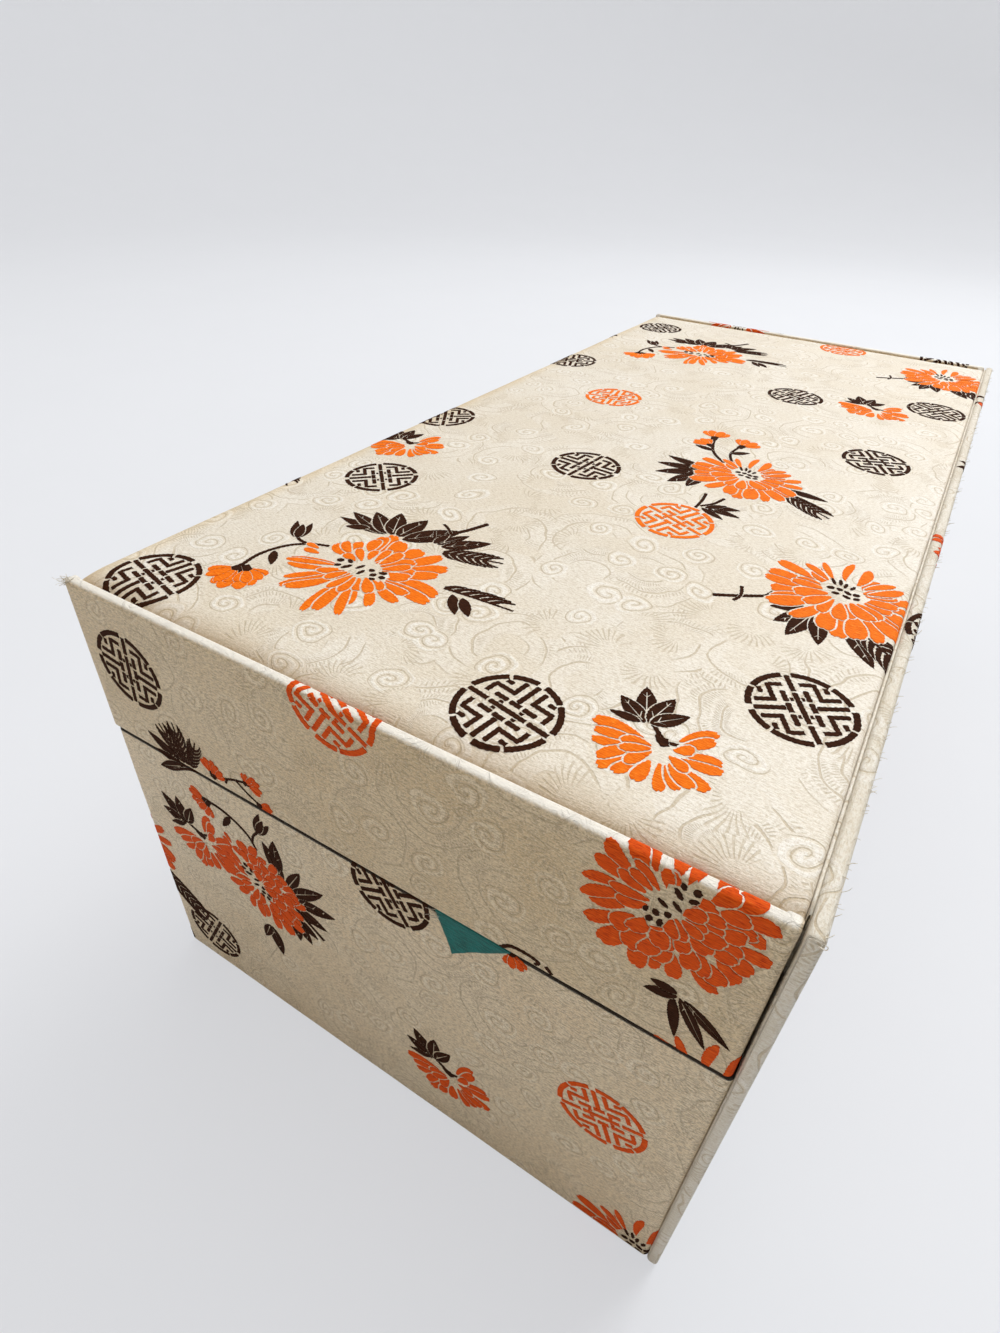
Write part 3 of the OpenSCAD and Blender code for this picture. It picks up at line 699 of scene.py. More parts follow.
def brocade(name, tones, rough_thread=0.45, relief=0.0002, coarse=0.3, seam=False, rim_highlight=False, turned_at=None):
    """Figured silk. The walls' tones are painted shade, darker and warmer than the top's as on sides that face away
    from the light, and the base's cloth carries painted shade along the seam.
    """
    n = Nodes(name)
    p = n.attr()
    x, y, _ = n.xyz(p)
    line, fill = damask(n, p)
    # threads: long floats across in the ground, fine ribs along in the figure, and the grain that both leave
    across = n.noise(n.join(n.math("MULTIPLY", x, 0.8), n.math("MULTIPLY", y, 4.2)), 1.0, 2, 0.6)
    along = n.noise(n.join(n.math("MULTIPLY", x, 4.2), n.math("MULTIPLY", y, 0.8)), 1.0, 2, 0.6)
    grain = n.noise(p, 2.1, 2, 0.7)
    figured = n.math("MAXIMUM", line, n.math("MULTIPLY", fill, 0.7))
    thread = n.math("ADD", n.math("MULTIPLY", across, n.math("SUBTRACT", 1.0, figured)), n.math("MULTIPLY", along, figured))
    thread = n.math("ADD", n.math("MULTIPLY", thread, 0.6), n.math("MULTIPLY", grain, 0.4))
    loose = n.noise(n.join(n.math("MULTIPLY", x, 0.75), n.math("MULTIPLY", y, 2.3)), 1.0, 3, 0.75)
    fade = n.noise(p, 0.018, 3, 0.6)
    deep, mid, pale = tones
    # painted shade: where the top's cloth turns down the opening side it takes the walls' darker tones
    if turned_at is not None:
        deep, mid, pale = (n.mix(n.ramp(x, turned_at, turned_at - 8), a, b) for a, b in zip(tones, WALL_SHADE_TONES))
    ivory = n.mix(n.ramp(fade, 0.35, 0.7), deep, mid)
    ivory = n.mix(n.math("MULTIPLY", fill, 0.7), ivory, pale)
    ivory = n.mix(n.math("MULTIPLY", line, 0.62), ivory, (0.50, 0.39, 0.24))
    dirt_and_rim_shade = n.math("MULTIPLY", n.ramp(n.noise(p, 0.035, 4, 0.65), 0.6, 0.86), 0.4)
    if turned_at is not None:  # painted shade in the valleys against the two rims
        rim_valley_shade = n.ramp(n.math("ADD", n.math("ABSOLUTE", y), n.math("MULTIPLY", loose, 6.0)), 166.5, 174.0)
        dirt_and_rim_shade = n.math("MAXIMUM", dirt_and_rim_shade, n.math("MULTIPLY", rim_valley_shade, 0.5))
    # random dirt, and on the top also the painted shade by the rims
    ivory = n.mix(dirt_and_rim_shade, ivory, (0.56, 0.39, 0.22))
    ivory = n.mix(n.math("MULTIPLY", n.ramp(thread, 0.54, 0.36), rough_thread), ivory, (0.52, 0.40, 0.24))
    # floats that lie loose or have worn through catch less light
    ivory = n.mix(n.math("MULTIPLY", n.ramp(loose, 0.54, 0.41), coarse), ivory, (0.44, 0.33, 0.19))
    ivory = n.mix(n.math("MULTIPLY", n.ramp(grain, 0.53, 0.63), coarse * 0.7), ivory, pale)
    if rim_highlight:  # painted highlight along the rim's outer edge
        rim_highlight_mask = n.math("MULTIPLY", n.ramp(y, -2.0, -1.1), n.ramp(n.math("ADD", y, n.math("MULTIPLY", grain, 1.2)), 1.9, 1.0))
        ivory = n.mix(n.math("MULTIPLY", rim_highlight_mask, 0.85), ivory, (0.95, 0.91, 0.83))
    if seam:
        # painted shade: a near-black band along the base's top edge for the dark seam gap under the lid, with some
        # grime
        seam_shade = n.math("MULTIPLY", n.ramp(y, 0.2, 0.5), n.ramp(n.math("ADD", y, n.math("MULTIPLY", grain, 0.5)), 2.5, 2.0))
        ivory = n.mix(seam_shade, ivory, (0.022, 0.013, 0.007))
    rough = n.ramp(figured, 0, 1, 0.42, 0.62, smooth=False)
    if seam:
        rough = n.math("MAXIMUM", rough, seam_shade)
    height = n.math("ADD", n.math("ADD", n.math("MULTIPLY", thread, 1.2), n.math("MULTIPLY", loose, 0.9)), n.math("SUBTRACT", n.math("MULTIPLY", fill, 0.3), n.math("MULTIPLY", line, 0.45)))
    bump = n.bump(height, relief, 0.8)
    return n.principled(ivory, rough, bump, Sheen_Weight=0.15, Sheen_Roughness=0.35, Specular_IOR_Level=0.4)


def floats(name, dark, mid, light, rough=0.5):
    """Coloured pattern threads that lie across the cloth."""
    n = Nodes(name)
    p = n.attr()
    x, y, _ = n.xyz(p)
    strand = n.noise(n.join(n.math("MULTIPLY", x, 0.6), n.math("MULTIPLY", y, 4.5)), 1.0, 2, 0.6)
    tone = n.mix(n.ramp(strand, 0.3, 0.55), dark, mid)
    tone = n.mix(n.ramp(strand, 0.55, 0.8), tone, light)
    tone = n.mix(n.math("MULTIPLY", n.ramp(n.noise(p, 0.12, 2), 0.35, 0.7), 0.35), tone, mid)
    bump = n.bump(strand, 0.00018, 0.9)
    return n.principled(tone, rough, bump, Specular_IOR_Level=0.08)


TOP_TONES = (0.80, 0.715, 0.58), (0.86, 0.80, 0.695), (0.925, 0.89, 0.825)
BACK_TONES = (0.70, 0.64, 0.52), (0.76, 0.71, 0.61), (0.83, 0.79, 0.71)
# painted shade: the walls' tones are darker and warmer than the top's for the shade on them; the base's are a little
# lighter than the lid walls' for the brighter light it gets
WALL_SHADE_TONES = (0.73, 0.555, 0.32), (0.78, 0.62, 0.39), (0.88, 0.76, 0.56)
BASE_SHADE_TONES = (0.87, 0.69, 0.45), (0.90, 0.75, 0.52), (0.94, 0.84, 0.66)
BROCADE = brocade("brocade", BACK_TONES)
TOP_BROCADE = brocade("brocade_top", TOP_TONES, turned_at=-72)
WALL_BROCADE = brocade("brocade_walls", WALL_SHADE_TONES, 0.65, 0.00036, 0.8, rim_highlight=True)
BASE_BROCADE = brocade("brocade_base", BASE_SHADE_TONES, 0.65, 0.00036, 0.8, seam=True)
ORANGE = floats("orange_thread", (0.72, 0.085, 0.002), (0.90, 0.185, 0.005), (0.98, 0.40, 0.05), 0.7)
# painted shade: a darker copy of the orange thread for the figures of the walls and the back board
WALL_ORANGE_SHADED = floats("orange_thread_walls_shaded", (0.42, 0.028, 0.002), (0.72, 0.088, 0.006), (0.88, 0.20, 0.025), 0.7)
BROWN = floats("brown_thread", (0.012, 0.003, 0.001), (0.040, 0.012, 0.004), (0.110, 0.040, 0.014), 0.9)


def simple(name, a, b, scale, rough=0.8, bump=0.0001, **fixed):
    n = Nodes(name)
    p = n.new("TexCoord").outputs["Object"]
    g = n.noise(p, scale, 4, 0.65)
    return n.principled(n.mix(n.ramp(g, 0.3, 0.7), a, b), rough, n.bump(g, bump), **fixed)


BOARD = simple("greyboard", (0.36, 0.31, 0.23), (0.46, 0.41, 0.32), 900)
CARD = simple("white_card", (0.72, 0.70, 0.64), (0.80, 0.78, 0.73), 700)
PAPER = simple("base_paper", (0.60, 0.52, 0.38), (0.68, 0.61, 0.47), 600)
COTTON = simple("cotton_wadding", (0.80, 0.78, 0.72), (0.87, 0.86, 0.82), 500, 0.95, 0.0004)


def silk(name, dark, light, slub=0.5):
    """Plain-woven silk: fine ribs across, uneven threads, and a soft shine."""
    n = Nodes(name)
    p = n.attr()
    x, y, _ = n.xyz(p)
    rib = n.math("ABSOLUTE", n.math("SINE", n.math("MULTIPLY", y, PI / 0.34)))
    warp = n.math("ABSOLUTE", n.math("SINE", n.math("MULTIPLY", x, PI / 0.30)))
    uneven = n.noise(n.join(n.math("MULTIPLY", x, 0.35), n.math("MULTIPLY", y, 3.0)), 1.0, 3, 0.6)
    weave = n.math("MULTIPLY", n.math("ADD", rib, n.math("MULTIPLY", warp, 0.5)), n.ramp(uneven, 0.2, 0.8, 0.5, 1.2))
    tone = n.mix(n.ramp(n.math("ADD", n.math("MULTIPLY", weave, 0.5), n.math("MULTIPLY", uneven, slub)), 0.3, 1.0), dark, light)
    return n.principled(tone, 0.42, n.bump(weave, 0.00007, 0.9), Specular_IOR_Level=0.3)


TEAL = silk("teal_silk", (0.0, 0.105, 0.11), (0.004, 0.20, 0.195))
TAB = silk("teal_tab_silk", (0.0, 0.045, 0.036), (0.002, 0.22, 0.195))

for node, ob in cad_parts.items():
    m = BOARD
    if "card" in node:
        m = CARD
    elif node == "base_bottom_paper":
        m = PAPER
    elif "lining" in node or node in ("base_floor_pad", "silk_tab"):
        m = TEAL
    elif node == "lid_panel_wadding":
        m = COTTON
    ob.data.materials.clear()
    ob.data.materials.append(m)


# Woven figures, drawn flat in millimetres
# A figure is a list of (colour or None, outline, gap). Later outlines lie over earlier ones, and each keeps
# a gap of plain cloth round itself. None cuts plain cloth into what lies under it.


def turned(pts, ang=0.0, dx=0.0, dy=0.0, size=1.0, flip=False):
    a = math.radians(ang)
    c, s = math.cos(a) * size, math.sin(a) * size
    out = []
    for x, y in pts:
        x = -x if flip else x
        out.append((x * c - y * s + dx, x * s + y * c + dy))
    return out


def put(figure, dx=0.0, dy=0.0, ang=0.0, size=1.0, flip=False):
    return [(k, turned(p, ang, dx, dy, size, flip), g) for k, p, g in figure]


def signed_area(p):
    return 0.5 * sum(a[0] * b[1] - b[0] * a[1] for a, b in zip(p, p[1:] + p[:1]))


def grown(pts, g):
    """The outline moved g outwards."""
    if signed_area(pts) < 0:
        pts = pts[::-1]
    out = []
    for k in range(len(pts)):
        (ax, ay), (bx, by), (cx, cy) = pts[k - 1], pts[k], pts[(k + 1) % len(pts)]
        ux, uy, wx, wy = bx - ax, by - ay, cx - bx, cy - by
        lu, lv = math.hypot(ux, uy) or 1e-9, math.hypot(wx, wy) or 1e-9
        nx, ny = uy / lu + wy / lv, -ux / lu - wx / lv
        m = math.hypot(nx, ny)
        if m < 0.3:
            nx, ny, m = uy / lu, -ux / lu, 1.0
        out.append((bx + nx / m * g, by + ny / m * g))
    return out


def threaded(pts, rng, step=0.5, bite=0.1):
    """The outline with the small uneven steps of its threads."""
    out, n = [], len(pts)
    flip = 1
    for k in range(n):
        (ax, ay), (bx, by) = pts[k], pts[(k + 1) % n]
        length = math.hypot(bx - ax, by - ay)
        m = max(1, int(round(length / step)))
        for i in range(m):
            t = i / m
            flip = -flip
            o = flip * bite * rng.uniform(0.2, 1.0)
            nx, ny = ((by - ay) / length, (ax - bx) / length) if length > 1e-6 else (0, 0)
            out.append((ax + (bx - ax) * t + nx * o, ay + (by - ay) * t + ny * o))
    return out


def curve(pts, n=6):
    """Smooth line through a few points."""
    if len(pts) < 3:
        return list(pts)
    q = [pts[0]] + list(pts) + [pts[-1]]
    out = []
    for k in range(1, len(q) - 2):
        for i in range(n):
            t = i / n
            out.append(tuple(0.5 * (2 * q[k][j] + (q[k + 1][j] - q[k - 1][j]) * t
                                    + (2 * q[k - 1][j] - 5 * q[k][j] + 4 * q[k + 1][j] - q[k + 2][j]) * t * t
                                    + (3 * q[k][j] - q[k - 1][j] - 3 * q[k + 1][j] + q[k + 2][j]) * t ** 3)
                             for j in (0, 1)))
    return out + [tuple(pts[-1])]


def stroke(pts, w0, w1=None):
    """Outline of a line that goes from width w0 to w1."""
    w1 = w0 if w1 is None else w1
    n = len(pts)
    left, rest = [], []
    for k, (x, y) in enumerate(pts):
        ax, ay = pts[max(k - 1, 0)]
        bx, by = pts[min(k + 1, n - 1)]
        length = math.hypot(bx - ax, by - ay) or 1e-9
        h = (w0 + (w1 - w0) * k / max(n - 1, 1)) / 2
        nx, ny = -(by - ay) / length * h, (bx - ax) / length * h
        left.append((x + nx, y + ny))
        rest.append((x - nx, y - ny))
    return left + rest[::-1]


def bar(x0, y0, x1, y1, w):
    return stroke([(x0, y0), (x1, y1)], w)


def petal(ang, r0, r1, wid, lobes=2, bend=0.0, cx=0.0, cy=0.0):
    """Petal from radius r0 to r1 about a centre, with a scalloped tip."""
    length = r1 - r0
    edge = [(0.0, 0.16), (0.12, 0.40), (0.28, 0.68), (0.46, 0.90), (0.64, 1.0), (0.80, 0.95)]
    pts = [(s * length, -k * wid / 2) for s, k in edge]
    steps = max(4, 3 * lobes)
    for i in range(1, steps):
        f = -1 + 2 * i / steps
        s = 0.80 + 0.20 * math.sqrt(max(0.0, 1 - f * f * 0.92))
        s -= 0.055 * (1 - abs(math.sin((f + 1) / 2 * PI * lobes)))
        pts.append((s * length, f * 0.93 * wid / 2))
    pts += [(s * length, k * wid / 2) for s, k in reversed(edge)]
    pts = [(r0 + s, t + bend * (s / length) ** 2 * length) for s, t in pts]
    return turned(pts, ang, cx, cy)


def petals(rows, color="orange", gap=0.27, cx=0.0, cy=0.0):
    out = []
    for row in rows:
        ang, r0, r1, wid = row[:4]
        out.append((color, petal(ang, r0, r1, wid, *(row[4:] or (2,)), cx=cx, cy=cy), gap))
    return out


def oval(x, y, a, b, ang=0.0, n=8):
    return turned([(a * math.cos(2 * PI * i / n), b * math.sin(2 * PI * i / n)) for i in range(n)], ang, x, y)


def blade(x, y, ang, length, wid, veins=3, teeth=0, bend=0.0, color="brown", gap=0.24):
    """Leaf from its foot at x, y: pointed, with its veins left plain."""
    n = 11 if not teeth else 2 * teeth + 1
    side = []
    for i in range(1, n):
        s = i / n
        h = math.sin(PI * s ** 0.82) ** 0.85 * wid / 2
        if teeth:
            h *= 1.0 if i % 2 else 0.76
        side.append((s * length, h))
    arch = lambda s, t: (s, t + bend * (s / length) ** 2 * length)
    pts = [(0, 0)] + [(s, -h) for s, h in side] + [(length, 0)] + [(s, h) for s, h in reversed(side)]
    out = [(color, turned([arch(*q) for q in pts], ang, x, y), gap)]
    if veins:
        rib = [arch(length * s, 0) for s in (0.1, 0.3, 0.5, 0.7, 0.84)]
        out.append((None, turned(stroke(rib, 0.34, 0.18), ang, x, y), 0))
        for i in range(veins):
            s = 0.2 + 0.5 * i / max(veins - 1, 1)
            for side_of in (-1, 1):
                h = math.sin(PI * (s + 0.1) ** 0.82) ** 0.85 * wid / 2 * 0.72
                line = [arch(length * s, 0), arch(length * s + h * 1.05, side_of * h)]
                out.append((None, turned(stroke(line, 0.28, 0.16), ang, x, y), 0))
    return out


def stem(pts, w0=0.95, w1=0.6, color="brown"):
    return [(color, stroke(curve(pts), w0, w1), 0.16)]


def roundel(color):
    """Medallion of a broken ring and straight frets, the same in all four quarters."""
    r0, r1 = 9.15, 10.4
    out = []
    for a0, a1 in ((6, 50), (54, 85), (95, 126), (130, 174), (186, 230), (234, 265), (275, 306), (310, 354)):
        arc = [math.radians(a0 + (a1 - a0) * i / 8) for i in range(9)]
        out.append((color, [(r1 * math.cos(a), r1 * math.sin(a)) for a in arc]
                    + [(r0 * math.cos(a), r0 * math.sin(a)) for a in reversed(arc)], 0))
    for x0, x1 in ((-9.6, -4.9), (-4.3, 4.3), (4.9, 9.6)):
        out.append((color, bar(x0, 0, x1, 0, 1.05), 0))
    for sy in (-1, 1):
        for x0, x1 in ((-4.9, -1.9), (-1.3, 1.3), (1.9, 4.9)):
            out.append((color, bar(x0, sy * 2.25, x1, sy * 2.25, 1.05), 0))
        out.append((color, bar(0, sy * 3.0, 0, sy * 9.0, 1.1), 0))
        for sx in (-1, 1):
            out.append((color, stroke([(sx * 2.35, sy * 8.3), (sx * 2.35, sy * 4.75)], 1.05), 0))
            out.append((color, stroke([(sx * 1.85, sy * 4.55), (sx * 7.05, sy * 4.55)], 1.0), 0))
            out.append((color, stroke([(sx * 6.8, sy * 4.3), (sx * 6.8, sy * 1.7)], 1.0), 0))
            out.append((color, bar(sx * 4.3, sy * 6.5, sx * 5.9, sy * 6.5, 0.95), 0))
            out.append((color, bar(sx * 2.0, sy * 1.12, sx * 2.9, sy * 1.12, 0.6), 0))
    return out


def stamens(spots, cut=None):
    out = [(None, cut, 0)] if cut else []
    for x, y, a, b, ang in spots:
        out.append(("brown", oval(x, y, a, b, ang, 7), 0.1))
    return out


def bloom(rng, a0, a1, count, r0, r1, wid, lobes=2, lean=0.0, loose=0.7, bend=0.22):
    """A row of petals between two angles; r1 grows by lean from the first to the last."""
    rows = []
    order = list(range(count))
    order.sort(key=lambda i: (i % 2, i))
    for i in order:
        f = i / max(count - 1, 1)
        ang = a0 + (a1 - a0) * f + rng.uniform(-4.5, 4.5)
        out = r1 + lean * (f - 0.5) + rng.uniform(-1.5, 1.2) * loose
        rows.append((ang, r0 + rng.uniform(-0.6, 0.6), out, wid * rng.uniform(0.76, 1.14), lobes, rng.uniform(-bend, bend)))
    return rows


def peony(kind=0):
    """Full flower: broad petals in a fan over slender ones, with plain cloth between them."""
    rng = random.Random(40 + kind)
    if kind == 2:
        rows = bloom(rng, 170, -22, 14, 12, 20.0, 4.3, 2, 4.5, 1.3) + bloom(rng, 164, -14, 12, 8.5, 15.6, 4.2, 2, 3.2, 0.9)
        rows += bloom(rng, 158, -4, 9, 5, 11.4, 3.9, 2, 2.6, 0.6) + bloom(rng, 150, 10, 7, 2.4, 7.4, 3.2, 1, 1.8, 0.4)
        rows += bloom(rng, -166, -30, 9, 8.5, 17.0, 3.6, 1, 3.0, 1.2, 0.2) + bloom(rng, -158, -40, 7, 4.4, 11.0, 2.9, 1, 1.0, 0.8, 0.2)
    elif kind == 0:
        rows = bloom(rng, 98, -8, 8, 7.5, 20.0, 4.7, 2, 3.0, 1.4) + bloom(rng, 166, 110, 5, 9, 16.5, 3.5, 2, 1.0, 1.2)
        rows += bloom(rng, -20, -60, 4, 8, 17.6, 3.4, 2, 0, 1.2) + bloom(rng, -72, -126, 5, 7.5, 21.0, 3.1, 2, -1.0, 1.8)
        rows += bloom(rng, 190, 228, 4, 8.5, 20.0, 2.6, 1, -1.0, 1.0)
        rows += bloom(rng, 84, 4, 6, 4.6, 12.6, 3.9, 2, 2.0, 0.8) + bloom(rng, 156, 98, 4, 5, 11, 3.0, 2, 0, 0.8)
        rows += bloom(rng, -24, -66, 3, 4.6, 11.4, 3.2, 2, 0, 0.8) + bloom(rng, -80, -142, 5, 4.4, 11.6, 2.5, 1, 0, 1.2, 0.2)
    if kind in (0, 2):
        out = petals(rows, gap=0.46 if kind == 0 else 0.34)
        out += petals([(181, 15, 20, 2.2, 1), (174, 17, 21.5, 1.8, 1)], gap=0.3)
        cut = [(-9, 1), (-6, 2.2), (-3, 1.4), (0, 2.4), (3, 1.6), (6.0, 2.2), (8, 0.4), (7, -1.6), (7, -3.0), (4, -2.6), (1, -3.8),
               (-2, -2.8), (-5, -4), (-7, -2), (-10, -1.6)]
        out += stamens(((-8, 0.3, 1.1, 0.85, 20), (-5.6, 1.2, 1.1, 0.65, -30), (-4.6, -1.4, 1.6, 0.65, 60), (-7, -2, 1.0, 0.6, 35),
                        (-1.6, 0.4, 1.5, 0.55, 70), (0.2, -1.6, 1.4, 0.55, 80), (1.9, 0.7, 0.9, 0.75, 0), (3.6, -0.9, 1.0, 0.75, 40),
                        (5.2, 1.1, 1.2, 0.65, 20), (6.2, -0.7, 1.0, 0.75, 0), (4.6, -2.6, 0.9, 0.55, 10)), cut)
        return out
    # an opened flower: long broad petals below, layered sides, slender ones above
    rows = bloom(rng, 206, 160, 4, 9, 19.5, 4.0, 2, 0, 1.0) + bloom(rng, -26, 20, 4, 9, 19.0, 4.0, 2, 0, 1.0)
    rows += bloom(rng, 218, 322, 8, 8.5, 20.6, 4.7, 2, 0, 1.2)
    rows += bloom(rng, 204, 130, 5, 5, 12.8, 3.6, 2, 0, 0.9) + bloom(rng, -14, 60, 5, 5, 13.0, 3.6, 2, 2.0, 0.9)
    rows += bloom(rng, 76, 40, 3, 7, 17.0, 2.8, 1, 0, 1.0) + bloom(rng, 134, 104, 3, 7, 17.5, 2.2, 1, 0, 1.2)
    rows += bloom(rng, 212, 330, 7, 4.4, 12.2, 4.0, 2, 0, 0.8)
    out = petals(rows, gap=0.46)
    cut = [(-5, -1), (-6.5, 2), (-4.5, 6), (-2, 8.5), (0.4, 6), (3, 7.4), (4, 3.4), (6.4, 1.6), (5, -1.4), (1, -2.4), (-3, -2.2)]
    out += stamens(((-3.6, 5.4, 1.8, 0.5, 115), (-1.9, 5.8, 1.7, 0.5, 100), (-0.4, 4.8, 1.5, 0.5, 85), (1.4, 4.6, 1.3, 0.5, 70),
                    (-3.6, 1.6, 1.1, 0.75, 30), (-1.4, 2.0, 0.9, 0.75, 0), (0.7, 1.4, 1.2, 0.65, -30), (2.8, 1.6, 1.0, 0.75, 20),
                    (-2, -0.5, 1.1, 0.65, 10), (0.8, -0.8, 1.2, 0.65, -20), (3.2, -0.4, 1.0, 0.65, 30)), cut)
    return out


def bud(ang=0.0, x=0.0, y=0.0, size=1.0):
    """Half-open bud on a block of calyx, pointing along ang."""
    f = petals(((34, 1.4, 6.6, 2.5, 1), (-34, 1.4, 6.6, 2.5, 1), (14, 1.0, 7.2, 2.7, 1), (-14, 1.0, 7.2, 2.7, 1)), gap=0.2)
    f += [("brown", [(-1.2, -0.9), (1.3, -1.1), (1.9, 0), (1.3, 1.1), (-1.2, 0.9)], 0.12)]
    return put(f, x, y, ang, size)


def shut_bud(ang=0.0, x=0.0, y=0.0, size=1.0):
    """Closed brown bud between two slim sepals."""
    f = blade(0, 0, 24, 8.6, 2.3, 0, bend=-0.2) + blade(0, 0, -24, 7.6, 2.2, 0, bend=0.2)
    f += blade(0, 0, 2, 7.0, 2.2, 0)
    return put(f, x, y, ang, size)


def leaves(rows, gap=0.24):
    out = []
    for x, y, ang, length, wid, veins, teeth in rows:
        out += blade(x, y, ang, length, wid, veins, teeth, gap=gap)
    return out


def feather(x, y, ang, length, wid, n=6, low=True, top=True):
    """Leaf of slanted strokes on both sides of a rib, with plain cloth between them."""
    out = []
    for i in range(n):
        s = 0.02 + 0.80 * i / n
        reach = wid / 2 * (0.5 + 0.7 * math.sin(PI * min(1.0, s * 0.9 + 0.2)))
        x0 = length * s
        for side, on in ((1, top), (-1, low)):
            if on:
                line = [(x0, side * 0.15), (x0 + reach * 0.75, side * reach * 0.75), (x0 + reach * 1.9, side * reach)]
                out.append(("brown", stroke(curve(line, 3), length * 0.8 / n * 0.62, 0.35), 0.22))
    out.append(("brown", stroke([(0, 0), (length * 0.5, 0.1), (length, 0)], 0.7, 0.4), 0))
    return [(k, turned(p, ang, x, y), g) for k, p, g in out]


def small_flower():
    """Little side-on flower, its petals to the left and the right, with a leaf on its stem."""
    f = stem([(-4.0, 6.4), (-2.0, 4.4), (0.4, 2.6), (3.0, 3.0)], 0.9, 0.8)
    f += [("brown", [(-2.0, 3.4), (0.6, 3.4), (1.4, 1.7), (0.2, 0.8), (-1.4, 2.0)], 0.15)]
    f += leaves(((-4.6, 5.4, 112, 10.8, 4.4, 2, 0), (-4.8, 5.2, 146, 8.6, 3.8, 2, 0), (-4.4, 5.6, 78, 9.6, 4.0, 2, 0),
                 (-5.6, 5.0, 182, 6.4, 2.0, 0, 0), (-4, 5.6, 46, 8.4, 3.6, 1, 0)), 0.32)
    rng = random.Random(71)
    rows = bloom(rng, 170, 232, 5, 3.2, 13.0, 3.0, 2, -1.2, 0.8) + bloom(rng, 244, 292, 3, 4.0, 10.8, 3.3, 2, 0, 0.7)
    rows += bloom(rng, 58, -24, 5, 4.4, 12.4, 3.0, 2, -1.0, 0.9) + bloom(rng, 304, 322, 2, 4.2, 10.4, 3.0, 2, 0, 0.7)
    rows += bloom(rng, 184, 236, 3, 1.6, 7.0, 2.8, 1, 0, 0.5) + bloom(rng, 30, -20, 2, 2.6, 7.0, 2.6, 1, 0, 0.4)
    return f + petals(rows, gap=0.44)


def palmate(size=1.0, n=5, spread=150.0, length=11.0, wid=4.0, veins=2, teeth=0):
    out = []
    order = sorted(range(n), key=lambda i: -abs(i - (n - 1) / 2))
    for i in order:
        f = i - (n - 1) / 2
        a = 90 + f * spread / max(n - 1, 1)
        k = 1 - 0.11 * abs(f)
        out += blade(0, 0, a, length * k, wid * (1 - 0.05 * abs(f)), veins, teeth)
    return put(out, size=size)


def spray_a():
    """The large flower of the near left: leaves and twigs behind it, buds on a bent stem beside it."""
    f = []
    f += leaves(((-6.5, 17, 176, 15.5, 3.4, 0, 0), (-7, 17.0, 160, 15.0, 4.0, 3, 0), (-6.5, 17.4, 140, 12.5, 4.6, 2, 0),
                 (-5, 17.6, 116, 12.0, 5.2, 2, 0), (-3.4, 17.6, 84, 11.5, 5.4, 2, 0), (-1.4, 17.0, 50, 15.5, 6.0, 3, 0),
                 (-12, 17.4, 205, 6.0, 2.6, 0, 0)), 0.34)
    f += stem([(2.5, 19), (6, 25), (9, 30), (11.6, 36)], 1.1, 1.2)
    f += stem([(6.6, 26.5), (4.4, 28.4), (2.4, 29.6)], 0.8, 0.6)
    f += stem([(4.4, 22.5), (2.6, 25.4)], 0.8, 0.6)
    f += leaves(((7, 20, 62, 9, 3.2, 1, 0), (8.5, 19.5, 42, 12.5, 4.4, 3, 0), (6, 20, 84, 6, 2.2, 0, 0)))
    f += feather(10.5, 17.6, 14, 15, 5.0, 6) + feather(20.0, 4.4, 2, 17.5, 5.6, 6, low=False)
    f += leaves(((23.0, 3.2, -52, 8.0, 2.6, 0, 0), (25.6, 3.2, -46, 7.5, 2.6, 0, 0)))
    f += stem([(-13.5, 4.4), (-18, 2.6), (-22, -1.4), (-24.2, -8), (-23.6, -14.5)], 0.8, 1.0)
    f += leaves(((-22.4, -4.6, -52, 6.6, 2.2, 0, 0),))
    f += stem([(-18.4, 2.3), (-21.4, 2.8), (-24, 4.2)], 0.9, 0.8)
    f += shut_bud(120, -22.8, 3.2, 1.1)
    f += bud(-62, -22.6, -14.6, 1.25) + bud(-102, -23.6, -14.4, 1.05) + bud(-30, -22.0, -13.8, 0.95)
    return f + put(peony(0), 0.4, 0.6, size=0.9)


def spray_b():
    """The flower farther back: leaves at its lower sides, twigs with buds above it."""
    f = []
    f += leaves(((-13, -6, 214, 13, 4.2, 2, 0), (-13.5, -4, 190, 12.5, 4.0, 2, 0), (-13, -2, 166, 12.5, 3.6, 1, 0),
                 (-12, -8, 240, 12, 4.4, 2, 0), (-11, -9, 262, 9.5, 3.8, 1, 0)))
    f += feather(12, -6, -28, 17, 5.6, 7) + leaves(((12.4, -2.4, -4, 12, 3.2, 1, 0),))
    f += stem([(-9, 6), (-14, 12), (-16.5, 18), (-18, 25)], 1.0, 0.9) + stem([(-7, 8), (-9.6, 15), (-8.8, 23)], 0.9, 0.8)
    f += bud(100, -18.2, 24.5, 1.1) + bud(150, -17, 17.5, 0.9) + bud(78, -8.6, 22.5, 1.05)
    f += leaves(((-9.6, 15, 40, 6.5, 2.4, 0, 0), (-15, 14, 170, 6.5, 2.4, 0, 0)))
    f += put(peony(1), size=0.84)
    return f


def spray_c():
    """The flower at the right edge: a leaf below it and one long leaf that falls away, a thorny twig to the left."""
    f = []
    f += leaves(((-4, -12, -128, 11, 4.0, 2, 0), (-4, -12, -104, 13, 4.4, 2, 0), (-3, -12, -78, 12.5, 4.2, 2, 0), (-5, -11, -152, 9, 3.2, 0, 0)))
    f += leaves(((3, -13, -58, 15, 4.2, 3, 0),)) + feather(7, -14, -42, 24, 7.0, 8)
    f += stem([(-10, -8), (-15, -12), (-20, -15.5), (-25, -18.5)], 0.9, 1.1)
    f += stem([(-20.6, -11), (-19.6, -15), (-20.4, -18)], 0.8, 0.7) + stem([(-14, -9), (-15, -12)], 0.7, 0.5)
    f += put(peony(1), size=0.9)
    return f


